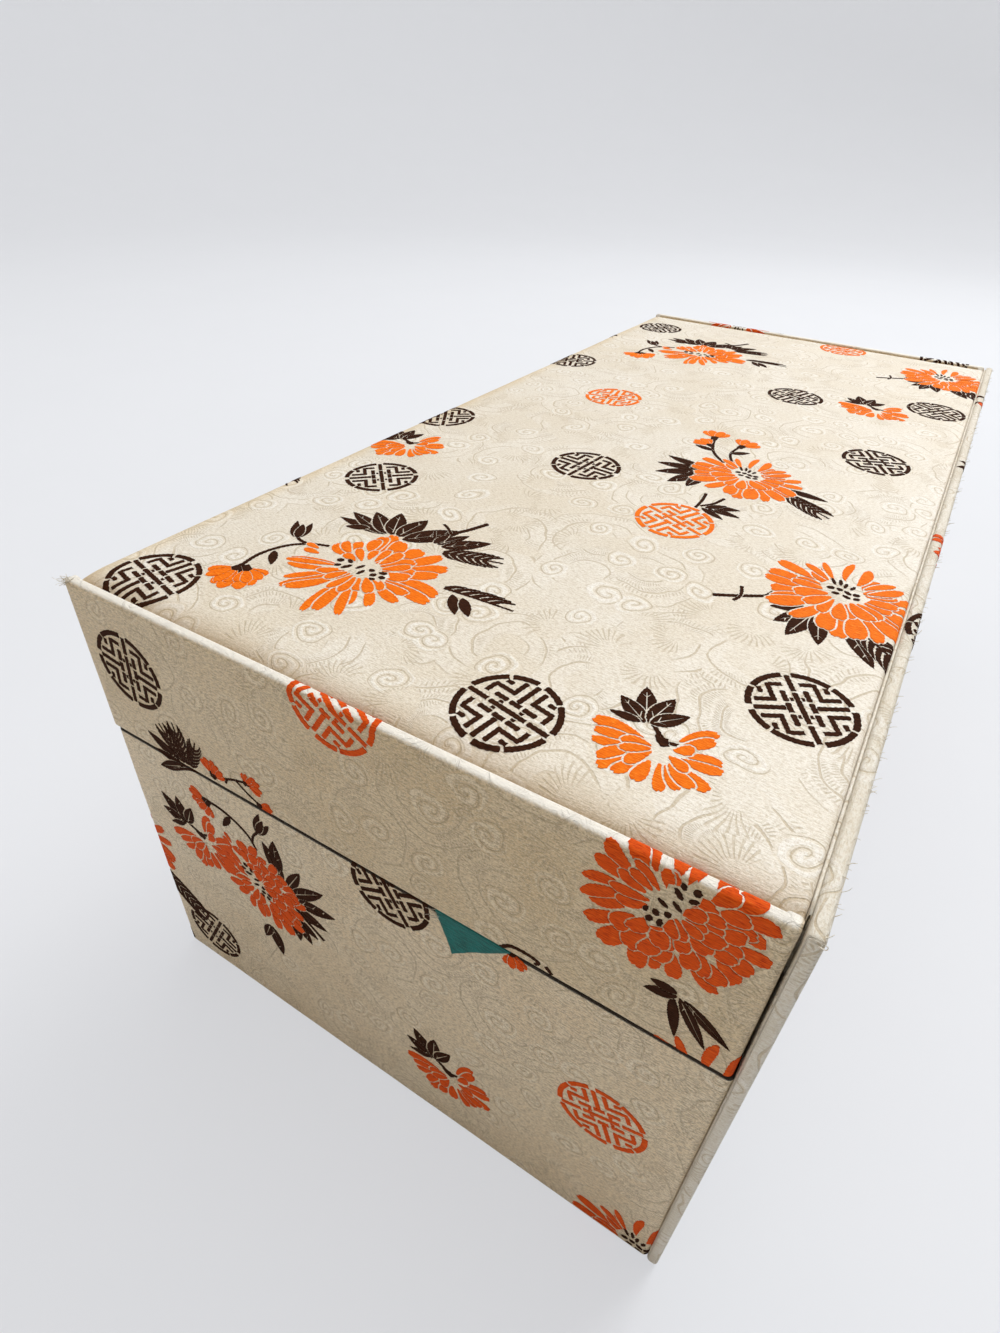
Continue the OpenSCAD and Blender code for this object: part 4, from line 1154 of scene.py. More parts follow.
def spray_f():
    """The flower of the near end: leaves to its right, a bud on an arched stem above it, a small leaf below."""
    f = []
    f += leaves(((9, 10, 86, 15, 5.0, 3, 0), (11, 9, 112, 14, 4.6, 2, 0), (12, 7, 60, 12, 3.8, 1, 0), (13, 5, 36, 15.5, 4.6, 3, 0),
                 (14, 3, 12, 15, 4.6, 3, 0), (13, 0, -12, 12, 4.4, 2, 0)))
    f += stem([(15, -2), (19, -5), (23, -8.2)], 0.9, 1.2) + stem([(18, -4), (20, -2.6)], 0.7, 0.6)
    f += leaves(((13, -5, -32, 9, 3.6, 1, 0), (12.5, -6, -58, 10, 4.2, 2, 0), (12, -6, -84, 10.5, 4.0, 2, 0), (12, -5, -112, 7, 2.6, 0, 0)))
    f += leaves(((1.4, -19, -80, 13, 4.6, 2, 0), (0.6, -19, -112, 8.5, 3.4, 1, 0)))
    f += stem([(2.6, 16.2), (0.6, 20.5), (-3.6, 23.6), (-9, 25.4), (-14, 25.6)], 0.8, 1.0)
    f += bud(188, -14.2, 25.4, 0.9) + bud(238, -13.6, 24.6, 0.85)
    f += leaves(((-5.6, 24, 236, 7, 2.2, 0, 0),))
    f += stem([(1.6, 18.8), (2.6, 22), (5, 25)], 0.8, 0.8) + shut_bud(62, 4.4, 24.2, 1.05)
    f += put(peony(2), ang=-52, size=0.86)
    return f


def twig_leaf():
    f = stem([(-4, 5.2), (-3.4, 0), (-3.4, -5.4)], 0.9, 0.8) + stem([(1.4, 5), (0, 0), (-2.6, -3.6)], 0.9, 0.8)
    f += leaves(((-1, -3, 20, 9, 2.8, 1, 0), (-1, -3.6, -4, 9.6, 2.8, 1, 0), (-1.2, -4, 44, 6.5, 2.2, 0, 0), (-2, -4.6, -26, 8, 2.2, 0, 0)))
    return f


def seam_leaves():
    """Leaves over the seam at the near end, left."""
    f = feather(-1, -2, 122, 13, 4.8, 6) + feather(0.4, -2, 98, 14.5, 5.0, 7) + feather(1.8, -2, 68, 12, 4.4, 6)
    f += leaves(((-3, -3, 152, 13, 4.0, 1, 0), (-2, -4, 178, 13.5, 3.6, 1, 0), (-4, -5, 206, 12.5, 3.8, 1, 0)), 0.3)
    f += stem([(-9, -9), (-6, -7.2), (-2, -5), (3, -3.6)], 0.9, 0.9)
    return f


def buds_twig():
    f = stem([(-8, -2.4), (-4.6, -0.6), (-1, 1.0), (3, 2.2)], 0.85, 0.7) + stem([(-4.8, -0.8), (-5.8, -2.8)], 0.8, 0.9)
    f += bud(10, 3.4, 2.2, 0.85) + bud(62, 3.0, 1.8, 0.62)
    f += bud(92, -11.2, -2.6, 0.9) + bud(58, -10.6, -3.2, 0.8)
    f += stem([(-1, 1), (3, -2), (7, -4)], 0.7, 0.6) + bud(-10, 7, -4.2, 0.75)
    return f


FIGURES = {
    "brown_roundel": lambda: roundel("brown"),
    "orange_roundel": lambda: roundel("orange"),
    "spray_a": spray_a, "spray_b": spray_b, "spray_c": spray_c, "spray_f": spray_f,
    "peony_e": lambda: put(peony(2), ang=-115, size=0.92),
    "small_flower": small_flower, "twig_leaf": twig_leaf, "seam_leaves": seam_leaves, "buds_twig": buds_twig,
    "leaf_e": lambda: leaves(((0, 6, -36, 14, 3.0, 1, 0), (-1, 6, -58, 15, 3.0, 1, 0), (-2.4, 5.6, -78, 14, 2.6, 0, 0),
                              (-1.4, 6, -160, 7.5, 3.0, 0, 0), (-1.6, 7, 178, 6, 2.6, 0, 0))),
    "leaf_p": lambda: palmate(1.0, 4, 120, 10.5, 3.8, 2),
    "curl": lambda: stem([(-5.6, -1.4), (-3.4, 0.8), (0, 1.2), (2.6, 0.6), (2.0, -0.6)], 0.9, 0.8) + stem([(4.2, 0.6), (5.6, -0.8)], 0.9, 0.7),
    "tiny_bud": lambda: bud(-70, 0, 0, 0.7),
}


def weave(figure, seed):
    """Flat triangles of a figure: (points, triangles, colour of each)."""
    rng = random.Random(seed)
    verts, faces, kinds = [], [], []

    def add(pts, kind):
        faces.append(list(range(len(verts), len(verts) + len(pts))))
        verts.extend(Vector(q) for q in pts)
        kinds.append(kind)

    for kind, pts, gap in figure:
        if signed_area(pts) < 0:
            pts = pts[::-1]
        if gap:
            add(grown(pts, gap), None)
        add(threaded(pts, rng) if kind else pts, kind)
    vs, _, fs, _, _, of = delaunay_2d_cdt(verts, [], faces, 1, 1e-4, True)
    tris, colors = [], []
    for f, src in zip(fs, of):
        kind = kinds[max(src)] if src else None
        if kind:
            tris.append(tuple(f))
            colors.append(kind)
    used = sorted({k for t in tris for k in t})
    index = {k: i for i, k in enumerate(used)}
    return [tuple(vs[k]) for k in used], [tuple(index[k] for k in t) for t in tris], colors


WOVEN = {}
COLORS = ("orange", "brown")


def figure_mesh(name, dx, dy, ang, size, flip, cuts_x, cuts_y, lo, hi):
    """A figure laid at dx, dy, cut off at the cloth's edges lo and hi, and scored along the folds."""
    if name not in WOVEN:
        WOVEN[name] = weave(FIGURES[name](), len(WOVEN) + 1)
    pts, tris, colors = WOVEN[name]
    pts = turned(pts, ang, dx, dy, size, flip)
    bm = bmesh.new()
    vs = [bm.verts.new((x, y, 0)) for x, y in pts]
    for t, c in zip(tris, colors):
        try:
            f = bm.faces.new([vs[k] for k in (reversed(t) if flip else t)])
            f.material_index = COLORS.index(c)
        except ValueError:
            pass
    xs, ys = [p[0] for p in pts], [p[1] for p in pts]

    def cut(co, no, clear):
        bmesh.ops.bisect_plane(bm, geom=bm.verts[:] + bm.edges[:] + bm.faces[:], dist=1e-5, plane_co=co, plane_no=no,
                               clear_outer=clear)

    for k, (a, b) in enumerate(((min(xs), max(xs)), (min(ys), max(ys)))):
        no = (1, 0, 0) if k == 0 else (0, 1, 0)
        if b > hi[k]:
            cut((hi[k] * no[0], hi[k] * no[1], 0), no, True)
        if a < lo[k]:
            cut((lo[k] * no[0], lo[k] * no[1], 0), (-no[0], -no[1], 0), True)
        for c in (cuts_x, cuts_y)[k]:
            if max(a, lo[k]) + 0.01 < c < min(b, hi[k]) - 0.01:
                cut((c * no[0], c * no[1], 0), no, False)
    bmesh.ops.remove_doubles(bm, verts=bm.verts[:], dist=0.004)
    bmesh.ops.dissolve_degenerate(bm, edges=bm.edges[:], dist=0.003)
    loose = [v for v in bm.verts if not v.link_faces]
    bmesh.ops.delete(bm, geom=loose, context="VERTS")
    bm.verts.index_update()
    flat = np.array([(v.co.x, v.co.y) for v in bm.verts]).reshape(-1, 2)
    faces = [tuple(v.index for v in f.verts) for f in bm.faces]
    mats = [f.material_index for f in bm.faces]
    bm.free()
    return flat, faces, mats


def lay(name, surface, placements, folds_x, folds_y, lo, hi, up=0.11, under=0.12, orange=WALL_ORANGE_SHADED):
    """Every figure of one cloth as thin closed pieces that stand up above it: their threads float over the ground."""
    all_v, all_f, all_m, all_c = [], [], [], []
    count = 0
    for fig, dx, dy, ang, size, flip in placements:
        flat, faces, mats = figure_mesh(fig, dx, dy, ang, size, flip, folds_x, folds_y, lo, hi)
        if not faces:
            continue
        # an outline point belongs to one sheet of faces at a time, so corners that only touch are split
        top, _ = surface(flat[:, 0], flat[:, 1], up)
        low, _ = surface(flat[:, 0], flat[:, 1], -under)
        m = len(flat)
        body = [tuple(f) for f in faces] + [tuple(m + k for k in reversed(f)) for f in faces]
        mat = list(mats) * 2
        owner = {}
        for f, c in zip(faces, mats):
            for k in range(len(f)):
                owner[(f[k], f[(k + 1) % len(f)])] = c
        for a, b in boundary(faces):
            body.append((b, a, m + a, m + b))
            mat.append(owner.get((a, b), 0))
        all_v.append(np.vstack([top, low]))
        all_f += [tuple(count + k for k in f) for f in body]
        all_m += mat
        all_c.append(np.vstack([flat, flat]))
        count += 2 * m
    ob = new_mesh(name, np.vstack(all_v), all_f, smooth=False, cloth=np.vstack(all_c), mats=[orange, BROWN], mat_index=all_m)
    return ob


# Brocade skins


def dress(ob, body, node):
    """The piece rides a body and stands for its node."""
    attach(ob, body)
    if node:
        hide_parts(node)
    return ob


lid_skin = dress(lid_tray.skin("lid_brocade", [WALL_BROCADE]), "lid", "lid_wall_cover")
base_skin = dress(base_tray.skin("base_brocade", [BASE_BROCADE]), "base", "base_wall_cover")
top_skin = dress(top.skin("lid_top_brocade", [TOP_BROCADE]), "lid", "lid_panel_cover")

# Back board: brocade on both faces and all edges, with a window inside that the lining fills
BACK_R = 0.95
window_y, window_lo, window_hi = ll / 2 - TURN, back_lo[2] + TURN, back_hi[2] - TURN
pts, nrm, fcs, raw = RoundBox(back_lo, back_hi, BACK_R, 6.0, ((), (-window_y, window_y), (window_lo, window_hi))).build()
inner_x, over = back_lo[0], back_hi[0] - raw[:, 0]
kept = []
for f in fcs:
    c = raw[list(f)].mean(axis=0)
    if not (c[0] < inner_x + 0.01 and abs(c[1]) < window_y and window_lo < c[2] < window_hi):
        kept.append(f)
run = raw[:, 1] + np.where(np.abs(raw[:, 1]) > ll / 2 - 0.01, np.sign(raw[:, 1]) * over, 0)
rise = np.where(raw[:, 0] < inner_x + 0.01, 2 * back_hi[2] + WALL - raw[:, 2],
                raw[:, 2] + np.where(raw[:, 2] > back_hi[2] - 0.01, over, 0))
verts, faces = thicken(pts, nrm, kept, 0.3)
cl = np.column_stack([run, rise])
back_skin = new_mesh("back_board_brocade", verts, faces, cloth=np.vstack([cl, cl]), mats=[BROCADE])
dress(back_skin, "base", "back_board_cover")

back_path = Path()
back_path.to(0, back_lo[2] + BACK_R).to(0, back_hi[2] - BACK_R).arc(BACK_R, back_hi[2] - BACK_R, BACK_R, 180, 90, 5)
back_path.to(WALL - BACK_R, back_hi[2]).arc(WALL - BACK_R, back_hi[2] - BACK_R, BACK_R, 90, 0, 5).to(WALL, window_hi)
back_path.done((BACK_R, back_hi[2]))


def back_surface(x, y, h):
    """Cloth of the back board: x along the box, y up the outer face and over the top edge."""
    x, y = np.broadcast_arrays(np.asarray(x, float), np.asarray(y, float))
    d, z, nd, nz = back_path.at(y)
    n = np.stack([-nd, np.zeros(x.shape), nz], -1)
    return np.stack([back_hi[0] - d, x, z], -1) + n * np.asarray(h)[..., None], n


# Hinge cloth: from its leaf on the back board over the crease to its leaf on the lid
hinge = [(78.87, z) for z in (121.5, 125, 129, 133, 135.0)] + [
    (78.65 + 0.22 * math.cos(math.radians(a)), 135.2 + 0.22 * math.sin(math.radians(a))) for a in (0, 30, 60, 90, 120, 150, 180)]
hinge += [(78.43, z) for z in (135.0, 133, 129, 125, 122)]
hinge = np.array(hinge)
step = np.gradient(hinge, axis=0)
side = unit(np.column_stack([step[:, 1], -step[:, 0]]))
ys = np.linspace(-170, 170, 86)
pts = np.array([(x, y, z) for y in ys for x, z in hinge])
nrm = np.array([(-a, 0, -b) for _ in ys for a, b in side])
length = np.concatenate([[0], np.cumsum(np.linalg.norm(np.diff(hinge, axis=0), axis=1))])
cl = np.array([(y, v) for y in ys for v in length])
verts, faces = thicken(pts + nrm * 0.07, nrm, grid_faces(len(hinge), len(ys)), 0.14)
hinge_strip = new_mesh("hinge_cloth_strip", verts, faces, cloth=np.vstack([cl, cl]), mats=[BROCADE])
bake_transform(hinge_strip)
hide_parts("hinge_cloth")

# Silk tab

tab_lo, tab_hi = box_mm("silk_tab")
tab_w, tab_x = tab_hi[0] - tab_lo[0], tab_lo[0]
way = [(-171.17, z) for z in (107.5, 104, 100, 96, 94.2)] + [(-171.3, 93.8), (-171.7, 93.67), (-172.6, 93.66), (-173.4, 93.66),
                                                             (-173.78, 93.6), (-173.93, 93.4)]
flap_top, flap_low, apex = 93.4, tab_lo[2] + 0.05, 0.28
rng = random.Random(77)
rows = [(y, z, 0.0, 1.0) for y, z in way]
for i in range(1, 15):
    t = i / 14
    lo_s, hi_s = apex * t, 1 - (1 - apex) * t
    rows.append((-173.93 - 0.25 * t - 0.9 * t * t, flap_top + (flap_low - flap_top) * t, lo_s, hi_s))
nu = 15
pts, cl = [], []
along = 0.0
for k, (y, z, s0, s1) in enumerate(rows):
    if k:
        along += math.hypot(y - rows[k - 1][0], z - rows[k - 1][1])
    t = max(0.0, (k - len(way) + 1) / 14)
    for i in range(nu):
        s = s0 + (s1 - s0) * i / (nu - 1)
        if t > 0:
            s += (rng.uniform(-0.006, 0.006) if i in (0, nu - 1) else 0)
        s = min(max(s, 0.004 if t < 1 else s0 - 0.008 + 0.016 * i / (nu - 1)), 0.996)
        wave = 0.22 * t * math.sin(s * 9 + 1.0) + 0.35 * t * t * (s - 0.3)
        pts.append((tab_x + tab_w * s, y - abs(wave) - wave * 0.4, z + 0.15 * t * math.sin(s * 14)))
        cl.append((tab_w * s, along))
pts, cl = np.array(pts), np.array(cl)
g = pts.reshape(len(rows), nu, 3)
du, dv = np.gradient(g, axis=1), np.gradient(g, axis=0)
nrm = unit(np.cross(du, dv)).reshape(-1, 3)
faces = grid_faces(nu, len(rows))
flat_n = np.cross(pts[faces[5][1]] - pts[faces[5][0]], pts[faces[5][2]] - pts[faces[5][0]])
if np.dot(flat_n, nrm[faces[5][0]]) < 0:
    faces = [tuple(reversed(f)) for f in faces]
verts, faces = thicken(pts + nrm * 0.1, nrm, faces, 0.2)
tab = new_mesh("silk_tab_cloth", verts, faces, cloth=np.vstack([cl, cl]), mats=[TAB])
dress(tab, "lid", "silk_tab")

# Lining and padding

for part in ("base_front_lining", "base_back_lining", "base_near_lining", "base_far_lining"):
    dress(soft_board(part + "_silk", part, 0.5, 10.0, [TEAL]), "base", None)
for part in ("lid_front_lining", "lid_back_lining", "lid_near_lining", "lid_far_lining"):
    dress(soft_board(part + "_silk", part, 0.5, 10.0, [TEAL]), "lid", None)
back_lining = dress(soft_board("back_board_silk", "back_board_lining", 0.15, 10.0, [TEAL]), "base", None)
dress(cushion("base_floor_cushion", "base_floor_pad", 1, 31, [TEAL]), "base", None)
dress(cushion("lid_top_cushion", "lid_top_lining_pad", -1, 37, [TEAL]), "lid", None)

wad_lo, wad_hi = box_mm("lid_panel_wadding")
card_lo, card_hi = box_mm("lid_panel_card")
half_wx, half_wy = (wad_hi[0] - wad_lo[0]) / 2, (wad_hi[1] - wad_lo[1]) / 2
half_cx, half_cy = (card_hi[0] - card_lo[0]) / 2, (card_hi[1] - card_lo[1]) / 2
xs = spread(2 * half_wx, [0, 0.3, 0.8, half_wx - half_cx - 0.06, half_wx - half_cx + 0.02, 3.2, 5, 8], 6)
ys = spread(2 * half_wy, [0, 0.4, 1.2, half_wy - half_cy - 0.06, half_wy - half_cy + 0.02, 4.2, 6, 8, 10], 7)


def wad_top(x, y):
    z = top.place(x, y)[..., 2] - 0.42
    left = np.clip(x + top.half, 0.02, ROLL_W)
    roll = FOOT + (top.face(np.maximum(x, top.roll), y) - FOOT) * np.sqrt(1 - (1 - left / ROLL_W) ** 2) - 0.5
    return np.maximum(np.where(x < top.roll, roll, z), BED + 0.15)


def wad_low(x, y):
    on_card = (np.abs(x) < half_cx + 0.03) & (np.abs(y) < half_cy + 0.03)
    return np.where(on_card, card_hi[2] + 0.02, BED + 0.02)


verts, faces = heights(xs, ys, lambda x, y: np.maximum(wad_top(x, y), wad_low(x, y) + 0.1), wad_low)
wadding = new_mesh("lid_wadding", verts + (LCX, 0, 0), faces, cloth=verts[:, :2], mats=[COTTON])
dress(wadding, "lid", "lid_panel_wadding")

# Where the figures lie
# Places are shares of the box's width from the left edge, and from the near edge or below the top edge.

W = lw
TOP = [
    ("brown_roundel", 0.094, 0.074, -15, 1, 0), ("spray_a", 0.318, 0.250, 0, 1, 0), ("brown_roundel", 0.649, 0.105, -12, 1, 0),
    ("small_flower", 0.815, 0.142, 0, 0.94, 0), ("brown_roundel", 0.928, 0.301, -58, 1, 0), ("spray_c", 0.917, 0.594, 0, 1, 0),
    ("orange_roundel", 0.632, 0.666, -25, 1, 0), ("twig_leaf", 0.665, 0.768, 0, 1, 0), ("brown_roundel", 0.411, 0.786, 84, 1, 0),
    ("spray_b", 0.676, 0.924, 0, 1, 0), ("brown_roundel", 0.132, 0.528, -48, 1, 0), ("small_flower", 0.077, 0.680, 20, 0.95, 0),
    ("brown_roundel", 0.032, 0.869, -60, 1, 0), ("orange_roundel", 0.277, 1.203, 10, 1, 0), ("brown_roundel", 0.866, 1.168, 30, 1, 0),
    ("brown_roundel", 0.627, 1.490, -20, 1, 0), ("small_flower", 0.807, 1.515, 0, 1, 0), ("brown_roundel", 0.929, 1.619, 55, 1, 0),
    ("spray_a", 0.305, 1.723, 0, 1, 0), ("brown_roundel", 0.042, 1.452, 20, 1, 0), ("spray_c", 0.915, 1.951, 0, 1, 0),
    ("orange_roundel", 0.624, 2.083, -25, 1, 0), ("brown_roundel", 0.090, 1.972, 40, 1, 0),
]
NEAR_LID = [
    ("brown_roundel", 0.096, 0.117, 82, 1, 0), ("orange_roundel", 0.481, 0.002, -32, 1, 0), ("peony_e", 0.893, 0.050, 0, 0.9, 0),
    ("leaf_e", 0.931, 0.204, 0, 0.8, 0), ("seam_leaves", 0.172, 0.247, 0, 0.86, 0), ("buds_twig", 0.284, 0.236, 0, 0.8, 0),
    ("curl", 0.752, 0.255, 0, 1, 0),
]
NEAR_BASE = [
    ("seam_leaves", 0.172, 0.251, 0, 0.86, 0), ("spray_f", 0.266, 0.478, 0, 0.92, 0), ("brown_roundel", 0.542, 0.294, -62, 1, 0),
    ("tiny_bud", 0.727, 0.270, 0, 1, 0), ("brown_roundel", 0.091, 0.755, 62, 1, 0), ("small_flower", 0.640, 0.700, 10, 1, 0),
    ("orange_roundel", 0.880, 0.520, 20, 1, 0),
]
# One repeat of the cloth, in millimetres, for the sides that the photograph doesn't show.
TILE_W, TILE_H = 168.0, 224.0
TILE = [
    ("spray_a", 50, 40, 0, 1, 0), ("brown_roundel", 104, 17, -12, 1, 0), ("small_flower", 131, 24, 0, 1, 0),
    ("brown_roundel", 149, 50, -58, 1, 0), ("spray_c", 147, 98, 0, 1, 0), ("orange_roundel", 101, 107, -25, 1, 0),
    ("brown_roundel", 66, 126, 84, 1, 0), ("spray_b", 108, 148, 0, 1, 0), ("brown_roundel", 21, 84, -48, 1, 0),
    ("small_flower", 14, 112, 20, 1, 0), ("brown_roundel", 10, 150, -60, 1, 0), ("orange_roundel", 45, 190, 10, 1, 0),
    ("brown_roundel", 139, 190, 30, 1, 0), ("brown_roundel", 86, 208, 40, 1, 0),
]


def tiled(x0, x1, y0, y1, ox, oy):
    """Figures of the repeating cloth that reach into a rectangle."""
    out = []
    for i in range(int((x0 - ox) // TILE_W) - 1, int((x1 - ox) // TILE_W) + 2):
        for j in range(int((y0 - oy) // TILE_H) - 1, int((y1 - oy) // TILE_H) + 2):
            for fig, x, y, ang, size, flip in TILE:
                px, py = ox + i * TILE_W + x, oy + j * TILE_H + y
                reach = 12 if "roundel" in fig else 40
                if x0 - reach < px < x1 + reach and y0 - reach < py < y1 + reach:
                    out.append((fig, px, py, ang, size, flip))
    return out


near_y = lid_lo[1]
top_list = [(f, x * W - W / 2, near_y + y * W, a, s, fl) for f, x, y, a, s, fl in TOP]
top_list += [(f, x * W - W / 2 - TILE_W, near_y + y * W, a, s, fl) for f, x, y, a, s, fl in TOP if x > 0.5]
fold_x = [float(v) for v in top.lines_x()[::1] if v < top.roll + 10.1 or v > top.right - 5] + [12.0 * i for i in range(-5, 7)]
edge = [0.5, 1.1, 1.9, 2.8, 3.8, 5.0, 6.4, 8.0, 10.0]
fold_y = [s * (TOP_HALF - d) for d in edge for s in (-1, 1)] + [12.0 * i for i in range(-13, 14)]
top_figures = lay("lid_top_figures", top.at, top_list, fold_x, fold_y,
                  (top.fall - float(top.path.v[-1]) + TURN + 1, -TOP_HALF + 0.1), (top.end - 0.6, TOP_HALF - 0.1), orange=ORANGE)
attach(top_figures, "lid")

DROP = 0.685  # how much longer the cloth is than the depth, past the rounded rim


def wall_surface(tray):
    """Cloth of a tray as x to the right and y up from where v is 0."""
    return lambda x, y, h: tray.at(x, -y, h)


def corner_folds(tray):
    return [c + o * d for c in (tray.cum[1] + tray.seg[1] / 2, tray.side(1, tray.l / 2), tray.side(3, -tray.l / 2) - tray.round,
                                -tray.cum[1] - tray.seg[1] / 2) for o in (-1, 1) for d in (0.25, 0.75, 1.3)]


lid_folds_y = [-float(v) for v in lid_path.v]
base_folds_y = [-float(v) for v in base_path.v]
lid_near = [(f, x * W - W / 2, -(y * W + DROP), a, s, fl) for f, x, y, a, s, fl in NEAR_LID]
lid_us = lid_tray.us(4.0)
half = lw / 2 - 2
lid_rest = tiled(half + 14, float(lid_us[-1]), -44, 2, half + 20, -150)
lid_figures = lay("lid_wall_figures", wall_surface(lid_tray), lid_near + lid_rest,
                  corner_folds(lid_tray) + [lid_tray.side(1, s * (ll / 2 - WALL)) for s in (-1, 1)], lid_folds_y,
                  (float(lid_us[0]) + 0.3, -float(lid_path.v[-1]) + TURN + 1), (float(lid_us[-1]) - 0.3, 3.6))
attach(lid_figures, "lid")

base_top = lz1 - bz1
meet_b = base_tray.side(1, 0)
base_near = [(f, x * W - W / 2, -(y * W - base_top + 0.32), a, s, fl) for f, x, y, a, s, fl in NEAR_BASE]
half_b = bw / 2 - 2
base_rest = tiled(half_b + 14, meet_b, -94, 0, half_b + 20, -190)
base_rest += tiled(meet_b - base_tray.round, -half_b - 14, -94, 0, -half_b - 160, -142)
base_figures = lay("base_wall_figures", wall_surface(base_tray), base_near + base_rest, corner_folds(base_tray), base_folds_y,
                   (meet_b - base_tray.round + 0.5, -(bz1 - bz0) + 0.4), (meet_b - 0.5, 1.6))
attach(base_figures, "base")

BACK = [
    ("brown_roundel", -83, -8.6, 30, 1, 0), ("peony_e", -41, -15, 0, 1, 0), ("small_flower", 36, -14, 0, 1, 0),
    ("spray_b", 128, -22, 0, 1, 0), ("brown_roundel", -150, -30, 10, 1, 0), ("spray_c", -108, -64, 0, 1, 0),
    ("orange_roundel", -52, -60, 20, 1, 0), ("brown_roundel", 6, -46, -40, 1, 0), ("spray_a", 24, -96, 0, 1, 0),
    ("brown_roundel", 76, -46, 70, 1, 0), ("orange_roundel", 160, -72, 0, 1, 0), ("brown_roundel", -148, -112, 0, 1, 0),
    ("small_flower", -76, -116, 0, 1, 0), ("brown_roundel", -36, -110, 50, 1, 0), ("peony_e", 92, -100, 0, 1, 0),
    ("brown_roundel", 142, -120, 15, 1, 0),
]
back_figures = lay("back_board_figures", back_surface, BACK, [-168.0, 168.0], [float(v) for v in back_path.v],
                   (-ll / 2 + 1.2, float(back_path.v[0]) + 0.2), (ll / 2 - 1.2, 3.6))
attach(back_figures, "base")

# Loose threads


def tube(points, r, sides=5):
    """Closed thread along points, thinner at its end."""
    p = np.array(points, float)
    d = unit(np.gradient(p, axis=0))
    side = unit(np.cross(d, np.where(np.abs(d[:, 2:3]) > 0.8, (1.0, 0, 0), (0, 0, 1.0))))
    other = np.cross(d, side)
    verts, faces, n = [], [], len(p)
    for k in range(n):
        rr = r * (1 - 0.45 * k / (n - 1))
        for i in range(sides):
            a = 2 * PI * i / sides
            verts.append(p[k] + rr * (math.cos(a) * side[k] + math.sin(a) * other[k]))
    faces = [tuple(reversed(f)) for f in grid_faces(sides, n, loop_u=True)]
    faces += [tuple(range(sides)), tuple((n - 1) * sides + i for i in reversed(range(sides)))]
    return np.array(verts), faces


def whisker(rng, start, way, length, r, bend=0.8):
    """A thread end from start, roughly along way."""
    p, d = np.array(start, float), unit(np.array(way, float))
    turn = np.array([rng.uniform(-1, 1) for _ in range(3)]) * bend
    out = [p - d * 0.3]
    for _ in range(6):
        out.append(p.copy())
        p = p + d * length / 6
        d = unit(d + turn / 6 + np.array([rng.uniform(-1, 1) for _ in range(3)]) * 0.16)
    return tube(out, r)


def threads(name, tubes, body, mat):
    verts, faces, n = [], [], 0
    for v, f in tubes:
        verts.append(v)
        faces += [tuple(n + k for k in q) for q in f]
        n += len(v)
    verts = np.vstack(verts)
    return dress(new_mesh(name, verts, faces, cloth=verts[:, :2], mats=[mat]), body, None)


rng = random.Random(301)
corner = (lid_lo[0] + 0.7, lid_lo[1] + 0.7, lz1 - 0.4)
fray = [whisker(rng, (corner[0] + rng.uniform(-0.4, 1.8), corner[1] + rng.uniform(-0.5, 1.0), corner[2] + rng.uniform(-1.2, 0.5)),
                (-1 + rng.uniform(-0.3, 1.0), -0.6 + rng.uniform(-0.6, 0.8), rng.uniform(-0.2, 0.9)), rng.uniform(1.2, 3.6),
                rng.uniform(0.05, 0.11)) for _ in range(26)]
fray += [whisker(rng, (lid_lo[0] + rng.uniform(2, 150), lid_lo[1] + 0.3, lz1 - 0.3), (rng.uniform(-1, 1), -0.6, 0.5),
                 rng.uniform(0.6, 1.6), 0.05) for _ in range(12)]
lid_threads = threads("lid_loose_threads", fray, "lid", BROCADE)
fray = [whisker(rng, (back_hi[0] - rng.uniform(0.1, 0.7), rng.uniform(-173, 173), back_hi[2] - rng.uniform(0.1, 0.5)),
                (0.8, rng.uniform(-1, 1), 0.5), rng.uniform(0.6, 2.1), rng.uniform(0.05, 0.09)) for _ in range(150)]
loop = [(back_hi[0] - 1.2 + 1.5 * math.sin(a) + 0.2 * math.sin(3 * a), -ll / 2 - 0.15 - 0.9 * abs(math.sin(a / 2)),
         back_hi[2] - 0.8 + 1.9 * (1 - math.cos(a)) / 2) for a in [2 * PI * i / 16 for i in range(17)]]
fray.append(tube(loop, 0.085))
back_threads = threads("back_board_loose_threads", fray, "base", BROCADE)
fray = [whisker(rng, (tab_x + rng.uniform(-0.4, 1.6), lid_lo[1] + 0.02, lz0 - rng.uniform(0.1, 2.6)), (-0.7, -0.5, rng.uniform(-0.8, 0.4)),
                rng.uniform(1.0, 2.6), 0.06) for _ in range(8)]
tab_threads = threads("silk_tab_loose_threads", fray, "lid", BROCADE)
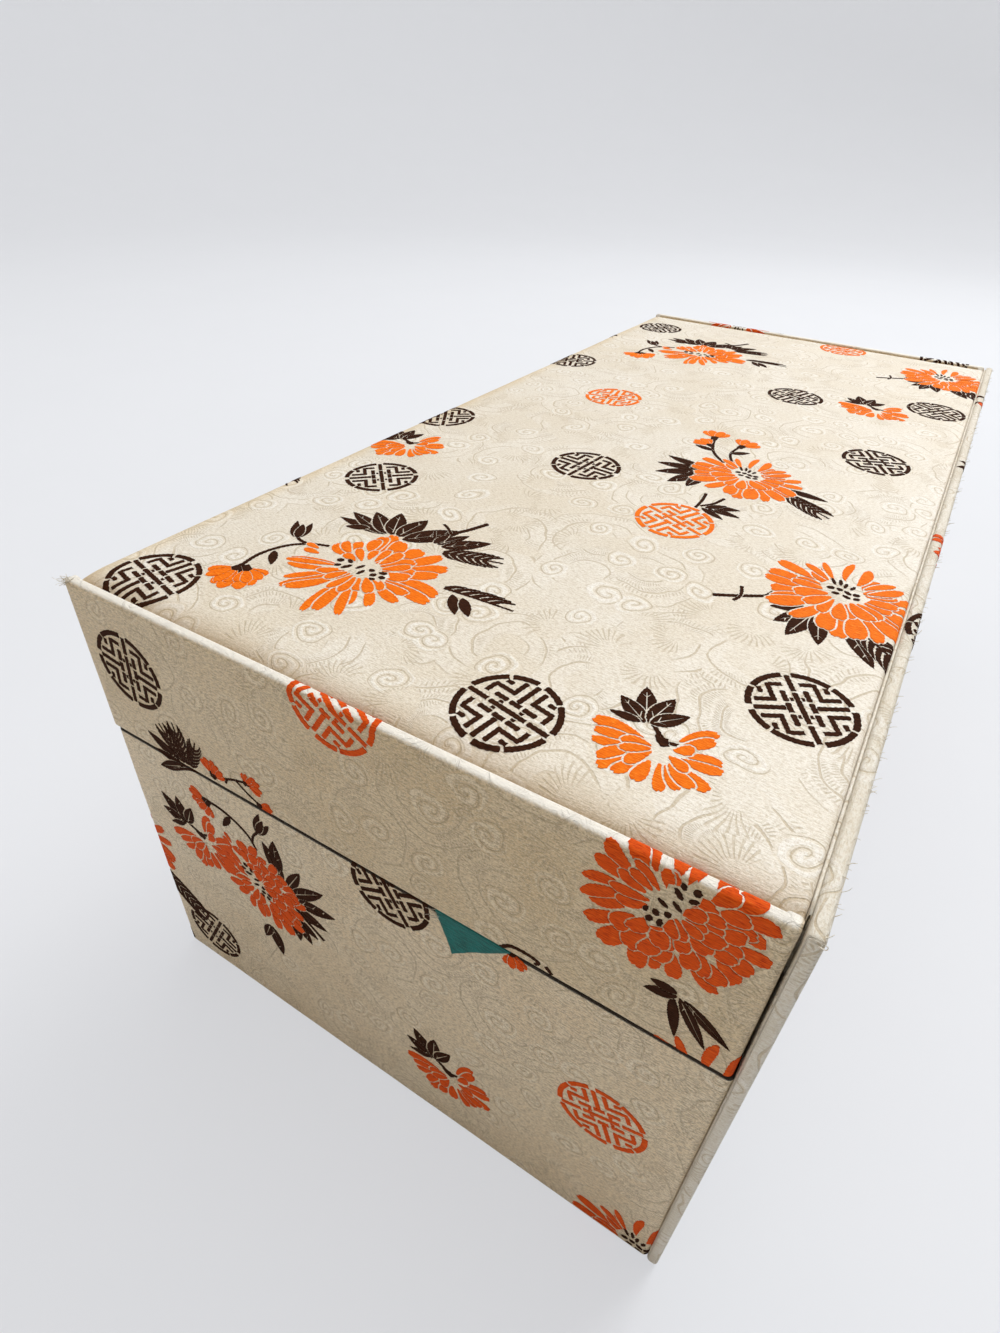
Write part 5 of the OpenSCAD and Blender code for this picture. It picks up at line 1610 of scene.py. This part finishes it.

# Floor and light

# One pale sweep: flat under the box, then curving up all round
profile = [(0.0, 0.0), (0.3, 0.0), (0.8, 0.0), (1.6, 0.0)]
profile += [(1.6 + 1.3 * math.sin(math.radians(a)), 1.3 * (1 - math.cos(math.radians(a)))) for a in range(9, 91, 9)]
profile += [(2.9, 1.9)]
ring = 64
verts = [(0.0, 0.0, 0.0)] + [(r * math.cos(2 * PI * i / ring), r * math.sin(2 * PI * i / ring), z)
                             for r, z in profile[1:] for i in range(ring)]
faces = [(0, 1 + i, 1 + (i + 1) % ring) for i in range(ring)]
faces += [(1 + j * ring + i, 1 + (j + 1) * ring + i, 1 + (j + 1) * ring + (i + 1) % ring, 1 + j * ring + (i + 1) % ring)
          for j in range(len(profile) - 2) for i in range(ring)]
fl = bpy.data.meshes.new("studio_sweep")
fl.from_pydata(verts, [], faces)
fl.polygons.foreach_set("use_smooth", np.full(len(fl.polygons), True))
floor = bpy.data.objects.new("studio_sweep", fl)
bpy.context.scene.collection.objects.link(floor)
n = Nodes("sweep")
soft = n.noise(n.new("TexCoord").outputs["Object"], 9.0, 4, 0.6)
diffuse = n.new("BsdfDiffuse")
n.put(diffuse.inputs[0], n.mix(soft, (0.76, 0.77, 0.79), (0.82, 0.83, 0.85)))
glow = n.new("Emission")
n.put(glow.inputs[0], (0.80, 0.812, 0.846))
n.put(glow.inputs[1], 1.0)
seen = n.new("LightPath").outputs["Is Camera Ray"]
mixer = n.new("MixShader")
n.put(mixer.inputs[0], n.math("MULTIPLY", seen, 0.7))
n.tree.links.new(diffuse.outputs[0], mixer.inputs[1])
n.tree.links.new(glow.outputs[0], mixer.inputs[2])
n.tree.links.new(mixer.outputs[0], n.out.inputs[0])
fl.materials.append(n.mat)

world = bpy.data.worlds.new("world")
bpy.context.scene.world = world
world.use_nodes = True
wt = world.node_tree
wt.nodes.clear()
wo = wt.nodes.new("ShaderNodeOutputWorld")
wb = wt.nodes.new("ShaderNodeBackground")
wb.inputs[0].default_value = (1.0, 0.95, 0.88, 1)
wb.inputs[1].default_value = 0.17
wt.links.new(wb.outputs[0], wo.inputs[0])


def area(name, where, target, size, power, color):
    d = bpy.data.lights.new(name, "AREA")
    d.shape, d.size, d.energy, d.color = "DISK", size, power, color
    o = bpy.data.objects.new(name, d)
    bpy.context.scene.collection.objects.link(o)
    o.location = where
    o.rotation_mode = "QUATERNION"
    o.rotation_quaternion = (Vector(target) - Vector(where)).to_track_quat("-Z", "Y")
    return o


area("key", (0.35, 1.2, 1.35), (0, 0, 0.1), 1.0, 26, (0.98, 0.99, 1.0))
area("top", (-0.15, 0.35, 1.7), (0, 0, 0.1), 1.4, 15, (0.99, 0.995, 1.0))
area("front", (-0.75, -1.25, 0.12), (0, -0.17, 0.0), 0.9, 4.8, (1.0, 0.93, 0.85))
